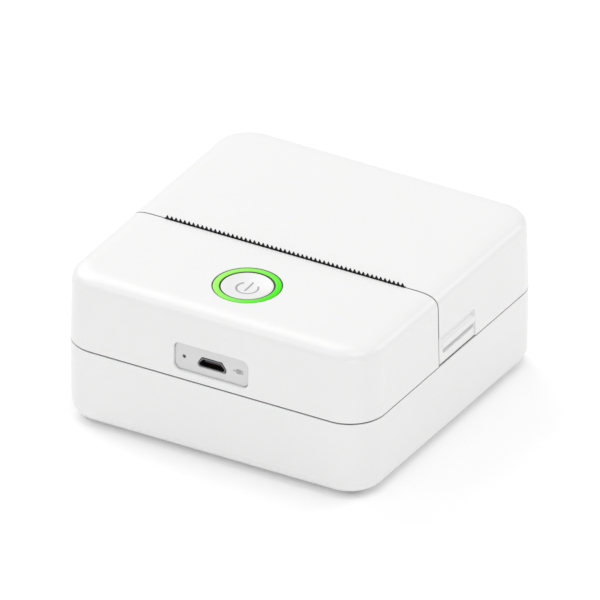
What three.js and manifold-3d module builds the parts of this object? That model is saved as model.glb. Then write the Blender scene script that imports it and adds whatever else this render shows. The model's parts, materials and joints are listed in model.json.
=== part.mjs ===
// A pocket thermal label printer: a plain white case in three shells, with its paper bay,
// print mechanism, gear train, control board and battery inside. Millimetres, +Z up.
// The origin is on the surface the printer stands on, under the middle of the case. The front,
// with the charging socket, faces -Y, and the lid over the paper bay is hinged along the rear.
import * as THREE from 'three';
import { mergeVertices } from 'three/addons/utils/BufferGeometryUtils.js';
import Module from 'manifold-3d';

const wasm = await Module();
wasm.setup();

// ---------------------------------------------------------------- driving dimensions
// Case
const CASE_WIDTH = 80;
const CASE_DEPTH = 80;
const CASE_HEIGHT = 37.1;
const SEAM_HEIGHT = 19; // horizontal parting line above the case's underside
const LID_SEAM_Y = -6.5; // parting line between the front cover and the lid
const SEAM_GAP = 0.3;
const WALL = 2;
const CORNER_RADIUS = 8.9;
const TOP_FILLET_IN = 6.5;
const TOP_FILLET_DOWN = 3.7;
const TOP_FILLET_POWER = 3.2;
const BOTTOM_FILLET = 3.6;
const UPPER_DRAFT = 1.1; // degrees
const LOWER_DRAFT = 0.9;
const FIT = 0.3; // clearance between pieces that are cut to fit each other

// Feet and case screws
const FOOT_STAND = 0.8;
const FOOT_RADIUS = 4.2;
const FOOT_RECESS = 0.5;
const FOOT_INSET = 13;
const BOSS_RADIUS = 2.2;
const BOSS_INSET_X = 6.6;
const FRONT_BOSS_INSET_Y = 6;
const REAR_BOSS_INSET_Y = 10;
const REAR_BOSS_HEIGHT = 5.2;
const SCREW_RADIUS = 0.9;
const SCREW_HEAD_RADIUS = 1.7;
const SCREW_HEAD_HEIGHT = 1.2;
const SCREW_HEAD_RECESS = 0.6;
const SCREW_BITE = 5;

// Lid hinge and finger grips
const HINGE_RADIUS = 1.6;
const HINGE_HALF_SPAN = 34;
const HINGE_EAR_X = 24;
const HINGE_EAR_WIDTH = 7;
const HINGE_PIN_RADIUS = 0.6;
const HINGE_PIN_LENGTH = 15;
const GRIP_LENGTH = 16.2;
const GRIP_HEIGHT = 7.1;
const GRIP_DEPTH = 0.45;
const GRIP_GROOVE_DEPTH = 1.05;
const GRIP_GROOVE_LOW = 2.4;
const GRIP_GROOVE_HIGH = 3.5;
const GRIP_RIDGE_TOP = 5.3;

// Paper, roll and bay
const PAPER_WIDTH = 57;
const ROLL_RADIUS = 14;
const ROLL_CORE_RADIUS = 5.5;
const ROLL_CORE_BORE = 3.8;
const ROLL_AXIS_BEHIND_SEAM = 27;
const BAY_WALL = 1.2;
const BAY_CLEARANCE = 0.4;
const BAY_LIFT = 1.2;
const BAY_CHEEK_GAP = 0.8;
const BAY_CHEEK_RISE = 3;

// Print mechanism
const PLATEN_RADIUS = 4.2;
const PLATEN_BEHIND_SEAM = 5.3;
const PLATEN_HEIGHT = 27;
const SHAFT_RADIUS = 1.5;
const BUSH_RADIUS = 2.2;
const RUNNING = 0.12;
const ARM_GAP = 0.7;
const ARM_THICKNESS = 1.2;
const ARM_RADIUS = 3.3;
const CARRIER_THICKNESS = 1.2;
const CARRIER_LENGTH = 11;
const POST_RADIUS = 1.2;
const FRAME_THICKNESS = 1.2;
const FRAME_GAP = 1;
const FRAME_TOP = 5.2; // frame plates above the platen's axis
const HEAD_GAP = 0.1;
const HEAD_THICKNESS = 0.8;
const HEAD_HEIGHT = 8.5;
const HEATSINK_THICKNESS = 1.2;
const HEATSINK_ABOVE_AXIS = 5.7;
const HEAD_PIVOT_BELOW_AXIS = 6.4;
const HEAD_PIVOT_RADIUS = 0.75;
const HEAD_BARREL_RADIUS = 1.4;
const HEAD_PIVOT_FREE = 0.1;
const SPRING_X = 18;
const SPRING_RADIUS = 1.5;
const SPRING_WIRE = 0.2;
const SPRING_LENGTH = 4.5;
const SPRING_BELOW_AXIS = 3.3;
const SPRING_TURNS = 3.5;

// Tear bar
const TEAR_WIDTH = 62;
const TEAR_TEETH = 55;
const TOOTH_HEIGHT = 0.9;
const TEAR_THICKNESS = 0.5;
const PAPER_SLOT = 0.7;
const TEAR_FLANGE = 5;
const TEAR_FLANGE_THICKNESS = 0.3;

// Gear train
const GEAR_MODULE = 0.5;
const PLATEN_TEETH = 20;
const IDLER_TEETH = 24;
const SMALL_TEETH = 12;
const LARGE_TEETH = 32;
const PINION_TEETH = 12;
const GEAR_WIDTH = 2;
const LARGE_GEAR_WIDTH = 1.8;
const GEAR_SPACE = 0.4;
const IDLER_BEARING = -120; // degrees, from the platen's axis in the Y-Z plane
const REDUCTION_BEARING = -150;
const PINION_BEARING = -170;
const TOOTH_BACKLASH = 0.14;
const AXLE_RADIUS = 0.8;
const AXLE_FREE = 0.1;
const GEAR_SEAT = 0.1; // between a gear's bore and the shaft it is fixed on
const MOTOR_RADIUS = 7;
const MOTOR_LENGTH = 12;
const MOTOR_SHAFT_RADIUS = 0.75;

// Button and light ring
const BUTTON_Y = -23.4;
const BUTTON_RADIUS = 6.05;
const BUTTON_DISH = 0.7;
const BUTTON_TRAVEL = 0.5;
const BUTTON_FLANGE = 0.95;
const RING_WIDTH = 1.55;
const RING_GAP = 0.25;
const RING_FLANGE = 1.1;
const RING_FLANGE_HEIGHT = 0.65;
const STEM_RADIUS = 2;

// Socket panel, control board and battery
const BEZEL_WIDTH = 19;
const BEZEL_HEIGHT = 6.7;
const BEZEL_RADIUS = 1.5;
const BEZEL_Z = 24.55;
const BEZEL_RECESS = 0.5;
const BEZEL_FLANGE = 1;
const SOCKET_WIDTH = 7.1;
const SOCKET_TOP_WIDTH = 4.9;
const SOCKET_HEIGHT = 2.4;
const SOCKET_WALL = 0.28;
const SOCKET_LENGTH = 5.2;
const SOCKET_Z = 24.35;
const LIGHT_X = -7.2;
const LIGHT_RADIUS = 0.42;
const BOARD_SIDE_GAP = 0.9;
const BOARD_DEPTH = 26;
const BOARD_THICKNESS = 1.2;
const BOARD_BOSS_INSET = 4.5;
const BOARD_BOSS_BACK = 3;
const SWITCH_SIZE = 6;
const SWITCH_HEIGHT = 3.4;
const PLUNGER_RADIUS = 1.7;
const PLUNGER_SHOW = 1.45;
const PLUNGER_WELL = 1.4;
const BATTERY_MOTOR_GAP = 2.3;
const BATTERY_BOSS_GAP = 2.2;
const BATTERY_DEPTH = 22;
const BATTERY_HEIGHT = 8.4;
const BATTERY_RADIUS = 3;

// ---------------------------------------------------------------- derived places
const radians = (degrees) => THREE.MathUtils.degToRad(degrees);

const caseBottom = FOOT_STAND;
const caseTop = caseBottom + CASE_HEIGHT;
const seamZ = caseBottom + SEAM_HEIGHT;
const floorTop = caseBottom + WALL;
const ceiling = caseTop - WALL;
const frontY = -CASE_DEPTH / 2;
const paperHalf = PAPER_WIDTH / 2;
const far = CASE_WIDTH + CASE_DEPTH + CASE_HEIGHT; // reaches past the case on every side

const hinge = { y: CASE_DEPTH / 2 - HINGE_RADIUS, z: seamZ + SEAM_GAP / 2 + HINGE_RADIUS };
const platen = { y: LID_SEAM_Y + PLATEN_BEHIND_SEAM, z: caseBottom + PLATEN_HEIGHT };
const armInner = paperHalf + ARM_GAP;
const frameInner = armInner + ARM_THICKNESS + FRAME_GAP;
const frameOuter = frameInner + FRAME_THICKNESS;
const gearNear = frameOuter + GEAR_SPACE;
const gearFar = gearNear + GEAR_WIDTH;
const largeNear = gearFar + GEAR_SPACE;
const largeFar = largeNear + LARGE_GEAR_WIDTH;

const idler = meshedWith(platen, PLATEN_TEETH, IDLER_TEETH, IDLER_BEARING);
const reduction = meshedWith(idler, IDLER_TEETH, SMALL_TEETH, REDUCTION_BEARING);
const motor = meshedWith(reduction, LARGE_TEETH, PINION_TEETH, PINION_BEARING);

const headFace = platen.y - PLATEN_RADIUS - HEAD_GAP;
const heatsinkBack = headFace - HEAD_THICKNESS;
const heatsinkFront = heatsinkBack - HEATSINK_THICKNESS;
const headPivot = { y: heatsinkBack - HEATSINK_THICKNESS / 2, z: platen.z - HEAD_PIVOT_BELOW_AXIS };
const springWall = heatsinkFront - SPRING_LENGTH;

const cradleInner = ROLL_RADIUS + BAY_CLEARANCE;
const cradleOuter = cradleInner + BAY_WALL;
const roll = { y: LID_SEAM_Y + ROLL_AXIS_BEHIND_SEAM, z: floorTop + BAY_LIFT + cradleOuter };
const cheekInner = paperHalf + BAY_CHEEK_GAP;
const cheekOuter = cheekInner + BAY_WALL;

const ringInner = BUTTON_RADIUS + RING_GAP;
const ringOuter = ringInner + RING_WIDTH;
const ringHole = ringOuter + 0.2;
const ringBottom = ceiling - FIT - RING_FLANGE_HEIGHT;

const bezelZ = caseBottom + BEZEL_Z;
const bezelFace = frontY + BEZEL_RECESS;
const bezelBack = frontY + WALL + FIT;
const socketZ = caseBottom + SOCKET_Z;
const boardBottom = socketZ + SOCKET_HEIGHT / 2 + 0.15;
const boardTop = boardBottom + BOARD_THICKNESS;
const boardFront = frontY + WALL + 1.5;
const plungerTop = boardTop + SWITCH_HEIGHT + PLUNGER_SHOW;
const boardHalf = frameInner - BOARD_SIDE_GAP;
const boardBossX = boardHalf - BOARD_BOSS_INSET;

const bossX = CASE_WIDTH / 2 - BOSS_INSET_X;
const frontBossY = frontY + FRONT_BOSS_INSET_Y;
const rearBossY = CASE_DEPTH / 2 - REAR_BOSS_INSET_Y;
const rearBossTop = floorTop + REAR_BOSS_HEIGHT;
const screwHeadTop = caseBottom + SCREW_HEAD_RECESS + SCREW_HEAD_HEIGHT;

// ---------------------------------------------------------------- finishes
const FINISH = {
  shell: new THREE.MeshStandardMaterial({ color: 0xf2f2f1, roughness: 0.5, metalness: 0 }),
  button: new THREE.MeshStandardMaterial({ color: 0xf5f5f4, roughness: 0.4, metalness: 0 }),
  ring: new THREE.MeshStandardMaterial({ color: 0x7dff50, roughness: 0.3, metalness: 0 }),
  bezel: new THREE.MeshStandardMaterial({ color: 0xdadada, roughness: 0.55, metalness: 0 }),
  tear: new THREE.MeshStandardMaterial({ color: 0x17181a, roughness: 0.4, metalness: 0.6 }),
  frame: new THREE.MeshStandardMaterial({ color: 0x2b2d30, roughness: 0.6, metalness: 0 }),
  bay: new THREE.MeshStandardMaterial({ color: 0xc9cbcd, roughness: 0.55, metalness: 0 }),
  rubber: new THREE.MeshStandardMaterial({ color: 0x1b1b1c, roughness: 0.85, metalness: 0 }),
  steel: new THREE.MeshStandardMaterial({ color: 0xb4b7ba, roughness: 0.3, metalness: 1 }),
  aluminium: new THREE.MeshStandardMaterial({ color: 0xc8cacc, roughness: 0.4, metalness: 1 }),
  ceramic: new THREE.MeshStandardMaterial({ color: 0x6b5a4e, roughness: 0.2, metalness: 0 }),
  gear: new THREE.MeshStandardMaterial({ color: 0xe8e6df, roughness: 0.45, metalness: 0 }),
  board: new THREE.MeshStandardMaterial({ color: 0x1f6b3c, roughness: 0.45, metalness: 0 }),
  chip: new THREE.MeshStandardMaterial({ color: 0x1c1d1f, roughness: 0.6, metalness: 0 }),
  led: new THREE.MeshStandardMaterial({ color: 0xf3eec4, roughness: 0.35, metalness: 0 }),
  lens: new THREE.MeshStandardMaterial({ color: 0x3a3d3f, roughness: 0.15, metalness: 0 }),
  battery: new THREE.MeshStandardMaterial({ color: 0x3b5f9e, roughness: 0.45, metalness: 0 }),
  flex: new THREE.MeshStandardMaterial({ color: 0xc98a3a, roughness: 0.4, metalness: 0 }),
  lead: new THREE.MeshStandardMaterial({ color: 0xa8211d, roughness: 0.5, metalness: 0 }),
  paper: new THREE.MeshStandardMaterial({ color: 0xf7f6f1, roughness: 0.9, metalness: 0 }),
  card: new THREE.MeshStandardMaterial({ color: 0xa98258, roughness: 0.95, metalness: 0 }),
};

// ---------------------------------------------------------------- shape helpers
// Turns a shape drawn in its own X-Y plane and extruded along its own Z, so that it is drawn in
// the Y-Z plane and runs along +X.
const ALONG_X = new THREE.Matrix4().makeBasis(
  new THREE.Vector3(0, 1, 0), new THREE.Vector3(0, 0, 1), new THREE.Vector3(1, 0, 0));

// The same, drawn in the X-Z plane and running along -Y.
const ALONG_Y = new THREE.Matrix4().makeBasis(
  new THREE.Vector3(1, 0, 0), new THREE.Vector3(0, 0, 1), new THREE.Vector3(0, -1, 0));

// Stands a lathe, which turns about its own Y, up on Z.
const LATHE_UP = new THREE.Matrix4().makeRotationX(Math.PI / 2);

// Lays a lathe down on X.
const LATHE_X = new THREE.Matrix4().makeRotationZ(-Math.PI / 2);

function block(x0, x1, y0, y1, z0, z1) {
  const geometry = new THREE.BoxGeometry(x1 - x0, y1 - y0, z1 - z0);
  return geometry.translate((x0 + x1) / 2, (y0 + y1) / 2, (z0 + z1) / 2);
}

function extrude(shape, length, curveSegments = 6) {
  return new THREE.ExtrudeGeometry(shape, { depth: length, bevelEnabled: false, curveSegments });
}

// A shape in the Y-Z plane, from x0 to x1.
function slabX(shape, x0, x1, curveSegments) {
  return extrude(shape, x1 - x0, curveSegments).applyMatrix4(ALONG_X).translate(x0, 0, 0);
}

// A shape in the X-Z plane, from y0 to y1.
function slabY(shape, y0, y1, curveSegments) {
  return extrude(shape, y1 - y0, curveSegments).applyMatrix4(ALONG_Y).translate(0, y1, 0);
}

function rodX(radius, x0, x1, y, z, sides = 16) {
  const geometry = new THREE.CylinderGeometry(radius, radius, x1 - x0, sides);
  return geometry.applyMatrix4(LATHE_X).translate((x0 + x1) / 2, y, z);
}

function rodZ(radius, z0, z1, x, y, sides = 16) {
  const geometry = new THREE.CylinderGeometry(radius, radius, z1 - z0, sides);
  return geometry.applyMatrix4(LATHE_UP).translate(x, y, (z0 + z1) / 2);
}

function rodY(radius, y0, y1, x, z, sides = 12) {
  return new THREE.CylinderGeometry(radius, radius, y1 - y0, sides).translate(x, (y0 + y1) / 2, z);
}

// A turned piece: points are [radius, height] pairs, listed so that the profile closes.
function turned(points, sides, matrix) {
  const profile = points.map(([radius, height]) => new THREE.Vector2(radius, height));
  return new THREE.LatheGeometry(profile, sides).applyMatrix4(matrix);
}

function tube(outer, inner, length, sides = 20) {
  const low = -length / 2;
  const high = length / 2;
  return turned([[inner, low], [outer, low], [outer, high], [inner, high], [inner, low]], sides, LATHE_X);
}

function polygon(points) {
  return new THREE.Shape(points.map(([u, v]) => new THREE.Vector2(u, v)));
}

function roundedRectangle(halfX, halfY, radius) {
  const shape = new THREE.Shape();
  shape.absarc(halfX - radius, halfY - radius, radius, 0, Math.PI / 2);
  shape.absarc(radius - halfX, halfY - radius, radius, Math.PI / 2, Math.PI);
  shape.absarc(radius - halfX, radius - halfY, radius, Math.PI, 1.5 * Math.PI);
  shape.absarc(halfX - radius, radius - halfY, radius, 1.5 * Math.PI, 2 * Math.PI);
  shape.closePath();
  return shape;
}

function solid(geometry) {
  const plain = geometry.clone();
  plain.deleteAttribute('normal');
  plain.deleteAttribute('uv');
  const merged = mergeVertices(plain, 1e-5);
  return new wasm.Manifold(new wasm.Mesh({
    numProp: 3,
    vertProperties: new Float32Array(merged.attributes.position.array),
    triVerts: new Uint32Array(merged.index.array),
  }));
}

function geometryOf(manifold) {
  const mesh = manifold.getMesh();
  const geometry = new THREE.BufferGeometry();
  geometry.setAttribute('position', new THREE.BufferAttribute(mesh.vertProperties, 3));
  geometry.setIndex(new THREE.BufferAttribute(mesh.triVerts, 1));
  geometry.computeVertexNormals();
  return geometry;
}

const join = (...pieces) => pieces.map(asSolid).reduce((whole, piece) => whole.add(piece));
const cut = (...pieces) => pieces.map(asSolid).reduce((whole, piece) => whole.subtract(piece));
const common = (...pieces) => pieces.map(asSolid).reduce((whole, piece) => whole.intersect(piece));

function asSolid(piece) {
  return piece.isBufferGeometry ? solid(piece) : piece;
}

function part(name, material, shape, x = 0, y = 0, z = 0) {
  const mesh = new THREE.Mesh(shape.isBufferGeometry ? shape : geometryOf(shape), material);
  mesh.name = name;
  mesh.position.set(x, y, z);
  return mesh;
}

const SIDES = [['left', -1], ['right', 1]];

// ---------------------------------------------------------------- the case
// Each level of the case is its plan at the seam, moved in by the draft and by the edge rounding.
// depth is how far the surface lies inside the outer one: 0 outside, WALL for the cavity.
function caseLevels(depth) {
  const roundSteps = 3;
  const shoulderSteps = 5;
  const low = caseBottom + depth;
  const high = caseTop - depth;
  const round = BOTTOM_FILLET - depth;
  const shoulderIn = TOP_FILLET_IN - depth;
  const shoulderDown = TOP_FILLET_DOWN - depth;
  const draft = (z) => (z < seamZ
    ? (seamZ - z) * Math.tan(radians(LOWER_DRAFT))
    : (z - seamZ) * Math.tan(radians(UPPER_DRAFT)));
  const levels = [];
  for (let step = 0; step <= roundSteps; step += 1) {
    const angle = (step / roundSteps) * (Math.PI / 2);
    const z = low + round * (1 - Math.cos(angle));
    levels.push({ z, inset: depth + draft(z) + round * (1 - Math.sin(angle)) });
  }
  levels.push({ z: seamZ, inset: depth });
  for (let step = 0; step <= shoulderSteps; step += 1) {
    const angle = (step / shoulderSteps) * (Math.PI / 2);
    const rise = Math.max(0, Math.sin(angle)) ** (2 / TOP_FILLET_POWER);
    const reach = Math.max(0, Math.cos(angle)) ** (2 / TOP_FILLET_POWER);
    const z = high - shoulderDown * (1 - rise);
    levels.push({ z, inset: depth + draft(z) + shoulderIn * (1 - reach) });
  }
  return levels;
}

// A rounded rectangle extruded through the levels, each with its own inset.
function caseSolid(depth) {
  const halfX = CASE_WIDTH / 2;
  const halfY = CASE_DEPTH / 2;
  const levels = caseLevels(depth);
  const outline = roundedRectangle(halfX, halfY, CORNER_RADIUS);
  const geometry = new THREE.ExtrudeGeometry(outline, {
    depth: levels.length - 1, steps: levels.length - 1, bevelEnabled: false, curveSegments: 3,
  });
  const place = geometry.attributes.position;
  for (let index = 0; index < place.count; index += 1) {
    const level = levels[Math.round(place.getZ(index))];
    const centreX = THREE.MathUtils.clamp(place.getX(index), CORNER_RADIUS - halfX, halfX - CORNER_RADIUS);
    const centreY = THREE.MathUtils.clamp(place.getY(index), CORNER_RADIUS - halfY, halfY - CORNER_RADIUS);
    const scale = (CORNER_RADIUS - level.inset) / CORNER_RADIUS;
    const x = centreX + (place.getX(index) - centreX) * scale;
    const y = centreY + (place.getY(index) - centreY) * scale;
    place.setXYZ(index, x, y, level.z);
  }
  return solid(geometry);
}

const caseOutside = caseSolid(0);
const caseCavity = caseSolid(WALL);
const caseHollow = caseOutside.subtract(caseCavity);

const aboveSeam = seamZ + SEAM_GAP / 2;
const belowSeam = seamZ - SEAM_GAP / 2;
const coverEnd = LID_SEAM_Y - SEAM_GAP / 2;
const lidStart = LID_SEAM_Y + SEAM_GAP / 2;

function bottomShell() {
  let shell = common(caseHollow, block(-far, far, -far, far, -far, belowSeam));
  for (const side of [-1, 1]) {
    const ear = rodX(HINGE_RADIUS, earStart(side), earEnd(side), hinge.y, hinge.z, 20);
    const neck = block(earStart(side), earEnd(side), hinge.y - HINGE_RADIUS, far,
      belowSeam - WALL, hinge.z);
    shell = join(shell, common(caseOutside, ear), common(caseOutside, neck));
    shell = cut(shell, rodX(HINGE_PIN_RADIUS + 0.02, earStart(side) - 1, earEnd(side) + 1,
      hinge.y, hinge.z, 12));
    const frontBoss = rodZ(BOSS_RADIUS, floorTop - 1, belowSeam, side * bossX, frontBossY);
    const rearBoss = rodZ(BOSS_RADIUS, floorTop - 1, rearBossTop, side * bossX, rearBossY);
    shell = join(shell, common(caseOutside, frontBoss), common(caseOutside, rearBoss));
    for (const [bossY, footY] of [[frontBossY, -1], [rearBossY, 1]]) {
      shell = cut(
        shell,
        rodZ(SCREW_RADIUS + 0.1, -1, far, side * bossX, bossY, 12),
        rodZ(SCREW_HEAD_RADIUS + FIT, -1, screwHeadTop + 0.1, side * bossX, bossY),
        rodZ(FOOT_RADIUS + 0.1, -1, caseBottom + FOOT_RECESS, side * footX, footY * footCentreY, 24));
    }
  }
  return shell;
}

const footX = CASE_WIDTH / 2 - FOOT_INSET;
const footCentreY = CASE_DEPTH / 2 - FOOT_INSET;

function earStart(side) {
  return side * HINGE_EAR_X - HINGE_EAR_WIDTH / 2;
}

function earEnd(side) {
  return side * HINGE_EAR_X + HINGE_EAR_WIDTH / 2;
}

function frontCover() {
  const slotHalf = TEAR_WIDTH / 2 + FIT;
  let cover = common(caseHollow, block(-far, far, -far, coverEnd, aboveSeam, far));
  for (const side of [-1, 1]) {
    const boss = rodZ(BOSS_RADIUS, aboveSeam, caseTop - 1, side * bossX, frontBossY);
    const pilot = rodZ(SCREW_RADIUS + 0.1, aboveSeam - 1, aboveSeam + SCREW_BITE + 1,
      side * bossX, frontBossY, 12);
    const boardBoss = rodZ(BOSS_RADIUS, boardTop + FIT, caseTop - 1, side * boardBossX,
      boardFront + BOARD_BOSS_BACK);
    const boardPilot = rodZ(SCREW_RADIUS + 0.1, boardTop - 1, boardTop + SCREW_BITE,
      side * boardBossX, boardFront + BOARD_BOSS_BACK, 12);
    cover = join(cover, common(caseOutside, boss), common(caseOutside, boardBoss));
    cover = cut(cover, pilot, boardPilot);
  }
  const panel = roundedRectangle(BEZEL_WIDTH / 2 + 0.1, BEZEL_HEIGHT / 2 + 0.1, BEZEL_RADIUS);
  const panelHole = slabY(panel, -far, frontY + WALL + 1, 2).translate(0, 0, bezelZ);
  const ringOpening = rodZ(ringHole, ceiling - 2, far, 0, BUTTON_Y, 32);
  const tearNotch = block(-slotHalf, slotHalf, coverEnd - TEAR_THICKNESS + 0.2, far, ceiling - 1, far);
  return cut(cover, panelHole, ringOpening, tearNotch);
}

// Outline of one finger grip in the X-Z plane, measured out from the case's side and up from the
// seam: a flat panel, a groove for the fingertip, a ridge level with the wall and a shallow scoop.
function gripOutline(side) {
  const wall = CASE_WIDTH / 2;
  const points = [
    [2, -1], [-GRIP_DEPTH, -1], [-GRIP_DEPTH, GRIP_GROOVE_LOW],
    [-GRIP_GROOVE_DEPTH, GRIP_GROOVE_LOW + 0.15],
    [-GRIP_GROOVE_DEPTH, GRIP_GROOVE_HIGH - 0.4], [0.1, GRIP_GROOVE_HIGH], [0.1, GRIP_RIDGE_TOP - 0.5],
    [-GRIP_DEPTH - 0.15, GRIP_RIDGE_TOP + 0.7], [-GRIP_DEPTH - 0.1, GRIP_HEIGHT - 0.2],
    [-GRIP_DEPTH + 0.1, GRIP_HEIGHT], [2, GRIP_HEIGHT],
  ];
  return polygon(points.map(([out, up]) => [side * (wall + out), seamZ + up]));
}

function paperLid() {
  const slotHalf = TEAR_WIDTH / 2 + FIT;
  const slotEnd = coverEnd - 0.05 + TEAR_THICKNESS + PAPER_SLOT;
  let lid = common(caseHollow, block(-far, far, lidStart, far, aboveSeam, far));
  const corner = block(-HINGE_HALF_SPAN, HINGE_HALF_SPAN, hinge.y, far, -far, hinge.z);
  const barrel = rodX(HINGE_RADIUS, -HINGE_HALF_SPAN, HINGE_HALF_SPAN, hinge.y, hinge.z, 20);
  lid = join(cut(lid, corner), common(caseOutside, barrel));
  for (const side of [-1, 1]) {
    const window = block(earStart(side) - FIT, earEnd(side) + FIT, hinge.y - HINGE_RADIUS - 1, far,
      -far, hinge.z + HINGE_RADIUS + FIT);
    const pinHalf = HINGE_PIN_LENGTH / 2 + FIT;
    const pinHole = rodX(HINGE_PIN_RADIUS + RUNNING, side * HINGE_EAR_X - pinHalf,
      side * HINGE_EAR_X + pinHalf, hinge.y, hinge.z, 12);
    const grip = slabY(gripOutline(side), lidStart - 1, lidStart + GRIP_LENGTH);
    const post = rodZ(POST_RADIUS, ceiling - CARRIER_THICKNESS - 1, caseTop - 1,
      side * paperHalf / 2, carrierMiddle, 12);
    lid = join(cut(lid, window, pinHole, grip), post);
  }
  const paperSlot = block(-slotHalf, slotHalf, -far, slotEnd, ceiling - 1, far);
  return cut(lid, paperSlot);
}

// ---------------------------------------------------------------- feet, screws and hinge pins
function foot() {
  const top = FOOT_STAND + FOOT_RECESS - 0.05;
  const points = [[0, 0], [FOOT_RADIUS - 0.4, 0], [FOOT_RADIUS, 0.4], [FOOT_RADIUS, top], [0, top]];
  return turned(points, 20, LATHE_UP);
}

// A pan-head screw, head down, with its head's underside at height 0.
function screw(length) {
  const recess = 0.5;
  const drive = 0.7;
  return turned([
    [0, recess - SCREW_HEAD_HEIGHT], [drive, recess - SCREW_HEAD_HEIGHT], [drive, -SCREW_HEAD_HEIGHT],
    [SCREW_HEAD_RADIUS - 0.3, -SCREW_HEAD_HEIGHT], [SCREW_HEAD_RADIUS, 0.3 - SCREW_HEAD_HEIGHT],
    [SCREW_HEAD_RADIUS, 0], [SCREW_RADIUS, 0], [SCREW_RADIUS, length - 0.6], [0, length],
  ], 10, LATHE_UP);
}

function hingePin() {
  return rodX(HINGE_PIN_RADIUS, -HINGE_PIN_LENGTH / 2, HINGE_PIN_LENGTH / 2, 0, 0, 12);
}

// ---------------------------------------------------------------- paper bay and roll
// Drawn about the roll's axis: a trough under the roll between two cheeks, with an apron that
// leads the paper to the platen and two ears that are screwed to the bottom shell.
function paperBay() {
  const start = radians(190);
  const end = radians(350);
  const trough = new THREE.Shape();
  trough.absarc(0, 0, cradleOuter, start, end, false);
  trough.absarc(0, 0, cradleInner, end, start, true);
  trough.closePath();
  const apron = polygon([
    [-cradleInner, -2.4], [-cradleOuter, -2.6], [-cradleOuter - 3, 2.2], [-cradleOuter - 2.2, 2.9],
  ]);
  const rise = Math.asin(BAY_CHEEK_RISE / cradleOuter);
  const cheek = new THREE.Shape();
  cheek.absarc(0, 0, cradleOuter, Math.PI - rise, 2 * Math.PI + rise, false);
  cheek.closePath();
  let bay = join(slabX(trough, -cheekOuter, cheekOuter, 6), slabX(apron, -cheekOuter, cheekOuter));
  for (const side of [-1, 1]) {
    const [low, high] = [side * cheekInner, side * cheekOuter].sort((a, b) => a - b);
    const earEdge = bossX + BOSS_RADIUS;
    const [earLow, earHigh] = [side * cheekInner, side * earEdge].sort((a, b) => a - b);
    const earBase = rearBossTop + FIT - roll.z;
    const ear = block(earLow, earHigh, rearBossY - roll.y - BOSS_RADIUS,
      rearBossY - roll.y + BOSS_RADIUS, earBase, earBase + 2);
    bay = join(bay, slabX(cheek, low, high, 8), cut(ear, slabX(roundBar(cradleInner), -far, far)));
    bay = cut(bay, rodZ(SCREW_RADIUS + 0.1, -far, far, side * bossX, rearBossY - roll.y, 12));
  }
  return bay;
}

function roundBar(radius) {
  const shape = new THREE.Shape();
  shape.absarc(0, 0, radius, 0, 2 * Math.PI);
  return shape;
}

// ---------------------------------------------------------------- print mechanism
const carrierMiddle = platen.y - ARM_RADIUS + CARRIER_LENGTH - 2.5;

// The plate under the lid that carries the platen between two arms, drawn about the platen's axis.
function platenCarrier() {
  const plateTop = ceiling - FIT - platen.z;
  const plateBottom = plateTop - CARRIER_THICKNESS;
  const half = armInner + ARM_THICKNESS;
  let carrier = solid(block(-half, half, -ARM_RADIUS, CARRIER_LENGTH - ARM_RADIUS, plateBottom, plateTop));
  for (const side of [-1, 1]) {
    const [low, high] = [side * armInner, side * half].sort((a, b) => a - b);
    const arm = new THREE.Shape();
    arm.absarc(0, 0, ARM_RADIUS, Math.PI, 2 * Math.PI, false);
    arm.lineTo(ARM_RADIUS, plateTop);
    arm.lineTo(-ARM_RADIUS, plateTop);
    arm.closePath();
    carrier = join(carrier, slabX(arm, low, high, 5));
    carrier = cut(
      carrier,
      rodX(SHAFT_RADIUS + RUNNING, low - 1, high + 1, 0, 0, 20),
      rodZ(POST_RADIUS + 0.15, -far, far, side * paperHalf / 2, carrierMiddle - platen.y, 12));
  }
  return carrier;
}

// The slot that the platen's bushes drop into follows the lid's swing: it widens to the rear.
function bushSlot() {
  const half = BUSH_RADIUS + RUNNING;
  const top = FRAME_TOP + 1;
  const swing = top * (platen.z - hinge.z + top / 2) / (hinge.y - platen.y) + 0.3;
  const shape = new THREE.Shape();
  shape.absarc(platen.y, platen.z, half, Math.PI, 2 * Math.PI, false);
  shape.lineTo(platen.y + half + swing, platen.z + top);
  shape.lineTo(platen.y - half, platen.z + top);
  shape.closePath();
  return shape;
}

// Two side plates and a cross wall. The left plate also carries the gear train and the motor.
function mechFrame() {
  const low = floorTop + FIT;
  const top = platen.z + FRAME_TOP;
  const rear = platen.y + ARM_RADIUS + 0.9;
  const front = springWall - FRAME_THICKNESS;
  const motorEdge = motor.y - MOTOR_RADIUS / 2;
  const motorTop = motor.z + MOTOR_RADIUS + 1.5;
  const rightPlate = polygon([
    [front, low], [rear, low], [rear, top], [headPivot.y - 3, top], [front, platen.z - 1.6],
  ]);
  const leftPlate = polygon([
    [motorEdge, low], [rear, low], [rear, top], [headPivot.y - 3, top], [front, platen.z - 1.6],
    [motorEdge, motorTop],
  ]);
  const wall = block(-frameOuter + 0.1, frameOuter - 0.1, front, springWall,
    headPivot.z - 7, platen.z - 1.5);
  const pivotHole = rodX(HEAD_PIVOT_RADIUS + 0.02, -far, far, headPivot.y, headPivot.z, 12);
  let frame = join(
    slabX(rightPlate, frameInner, frameOuter), slabX(leftPlate, -frameOuter, -frameInner), wall);
  frame = cut(frame, slabX(bushSlot(), -far, far, 5), pivotHole);
  for (const axis of [idler, reduction]) {
    frame = cut(frame, rodX(AXLE_RADIUS + 0.02, -far, 0, axis.y, axis.z, 12));
  }
  return cut(frame, rodX(MOTOR_SHAFT_RADIUS + 1, -far, -frameInner + 0.5, motor.y, motor.z, 16));
}

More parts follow.
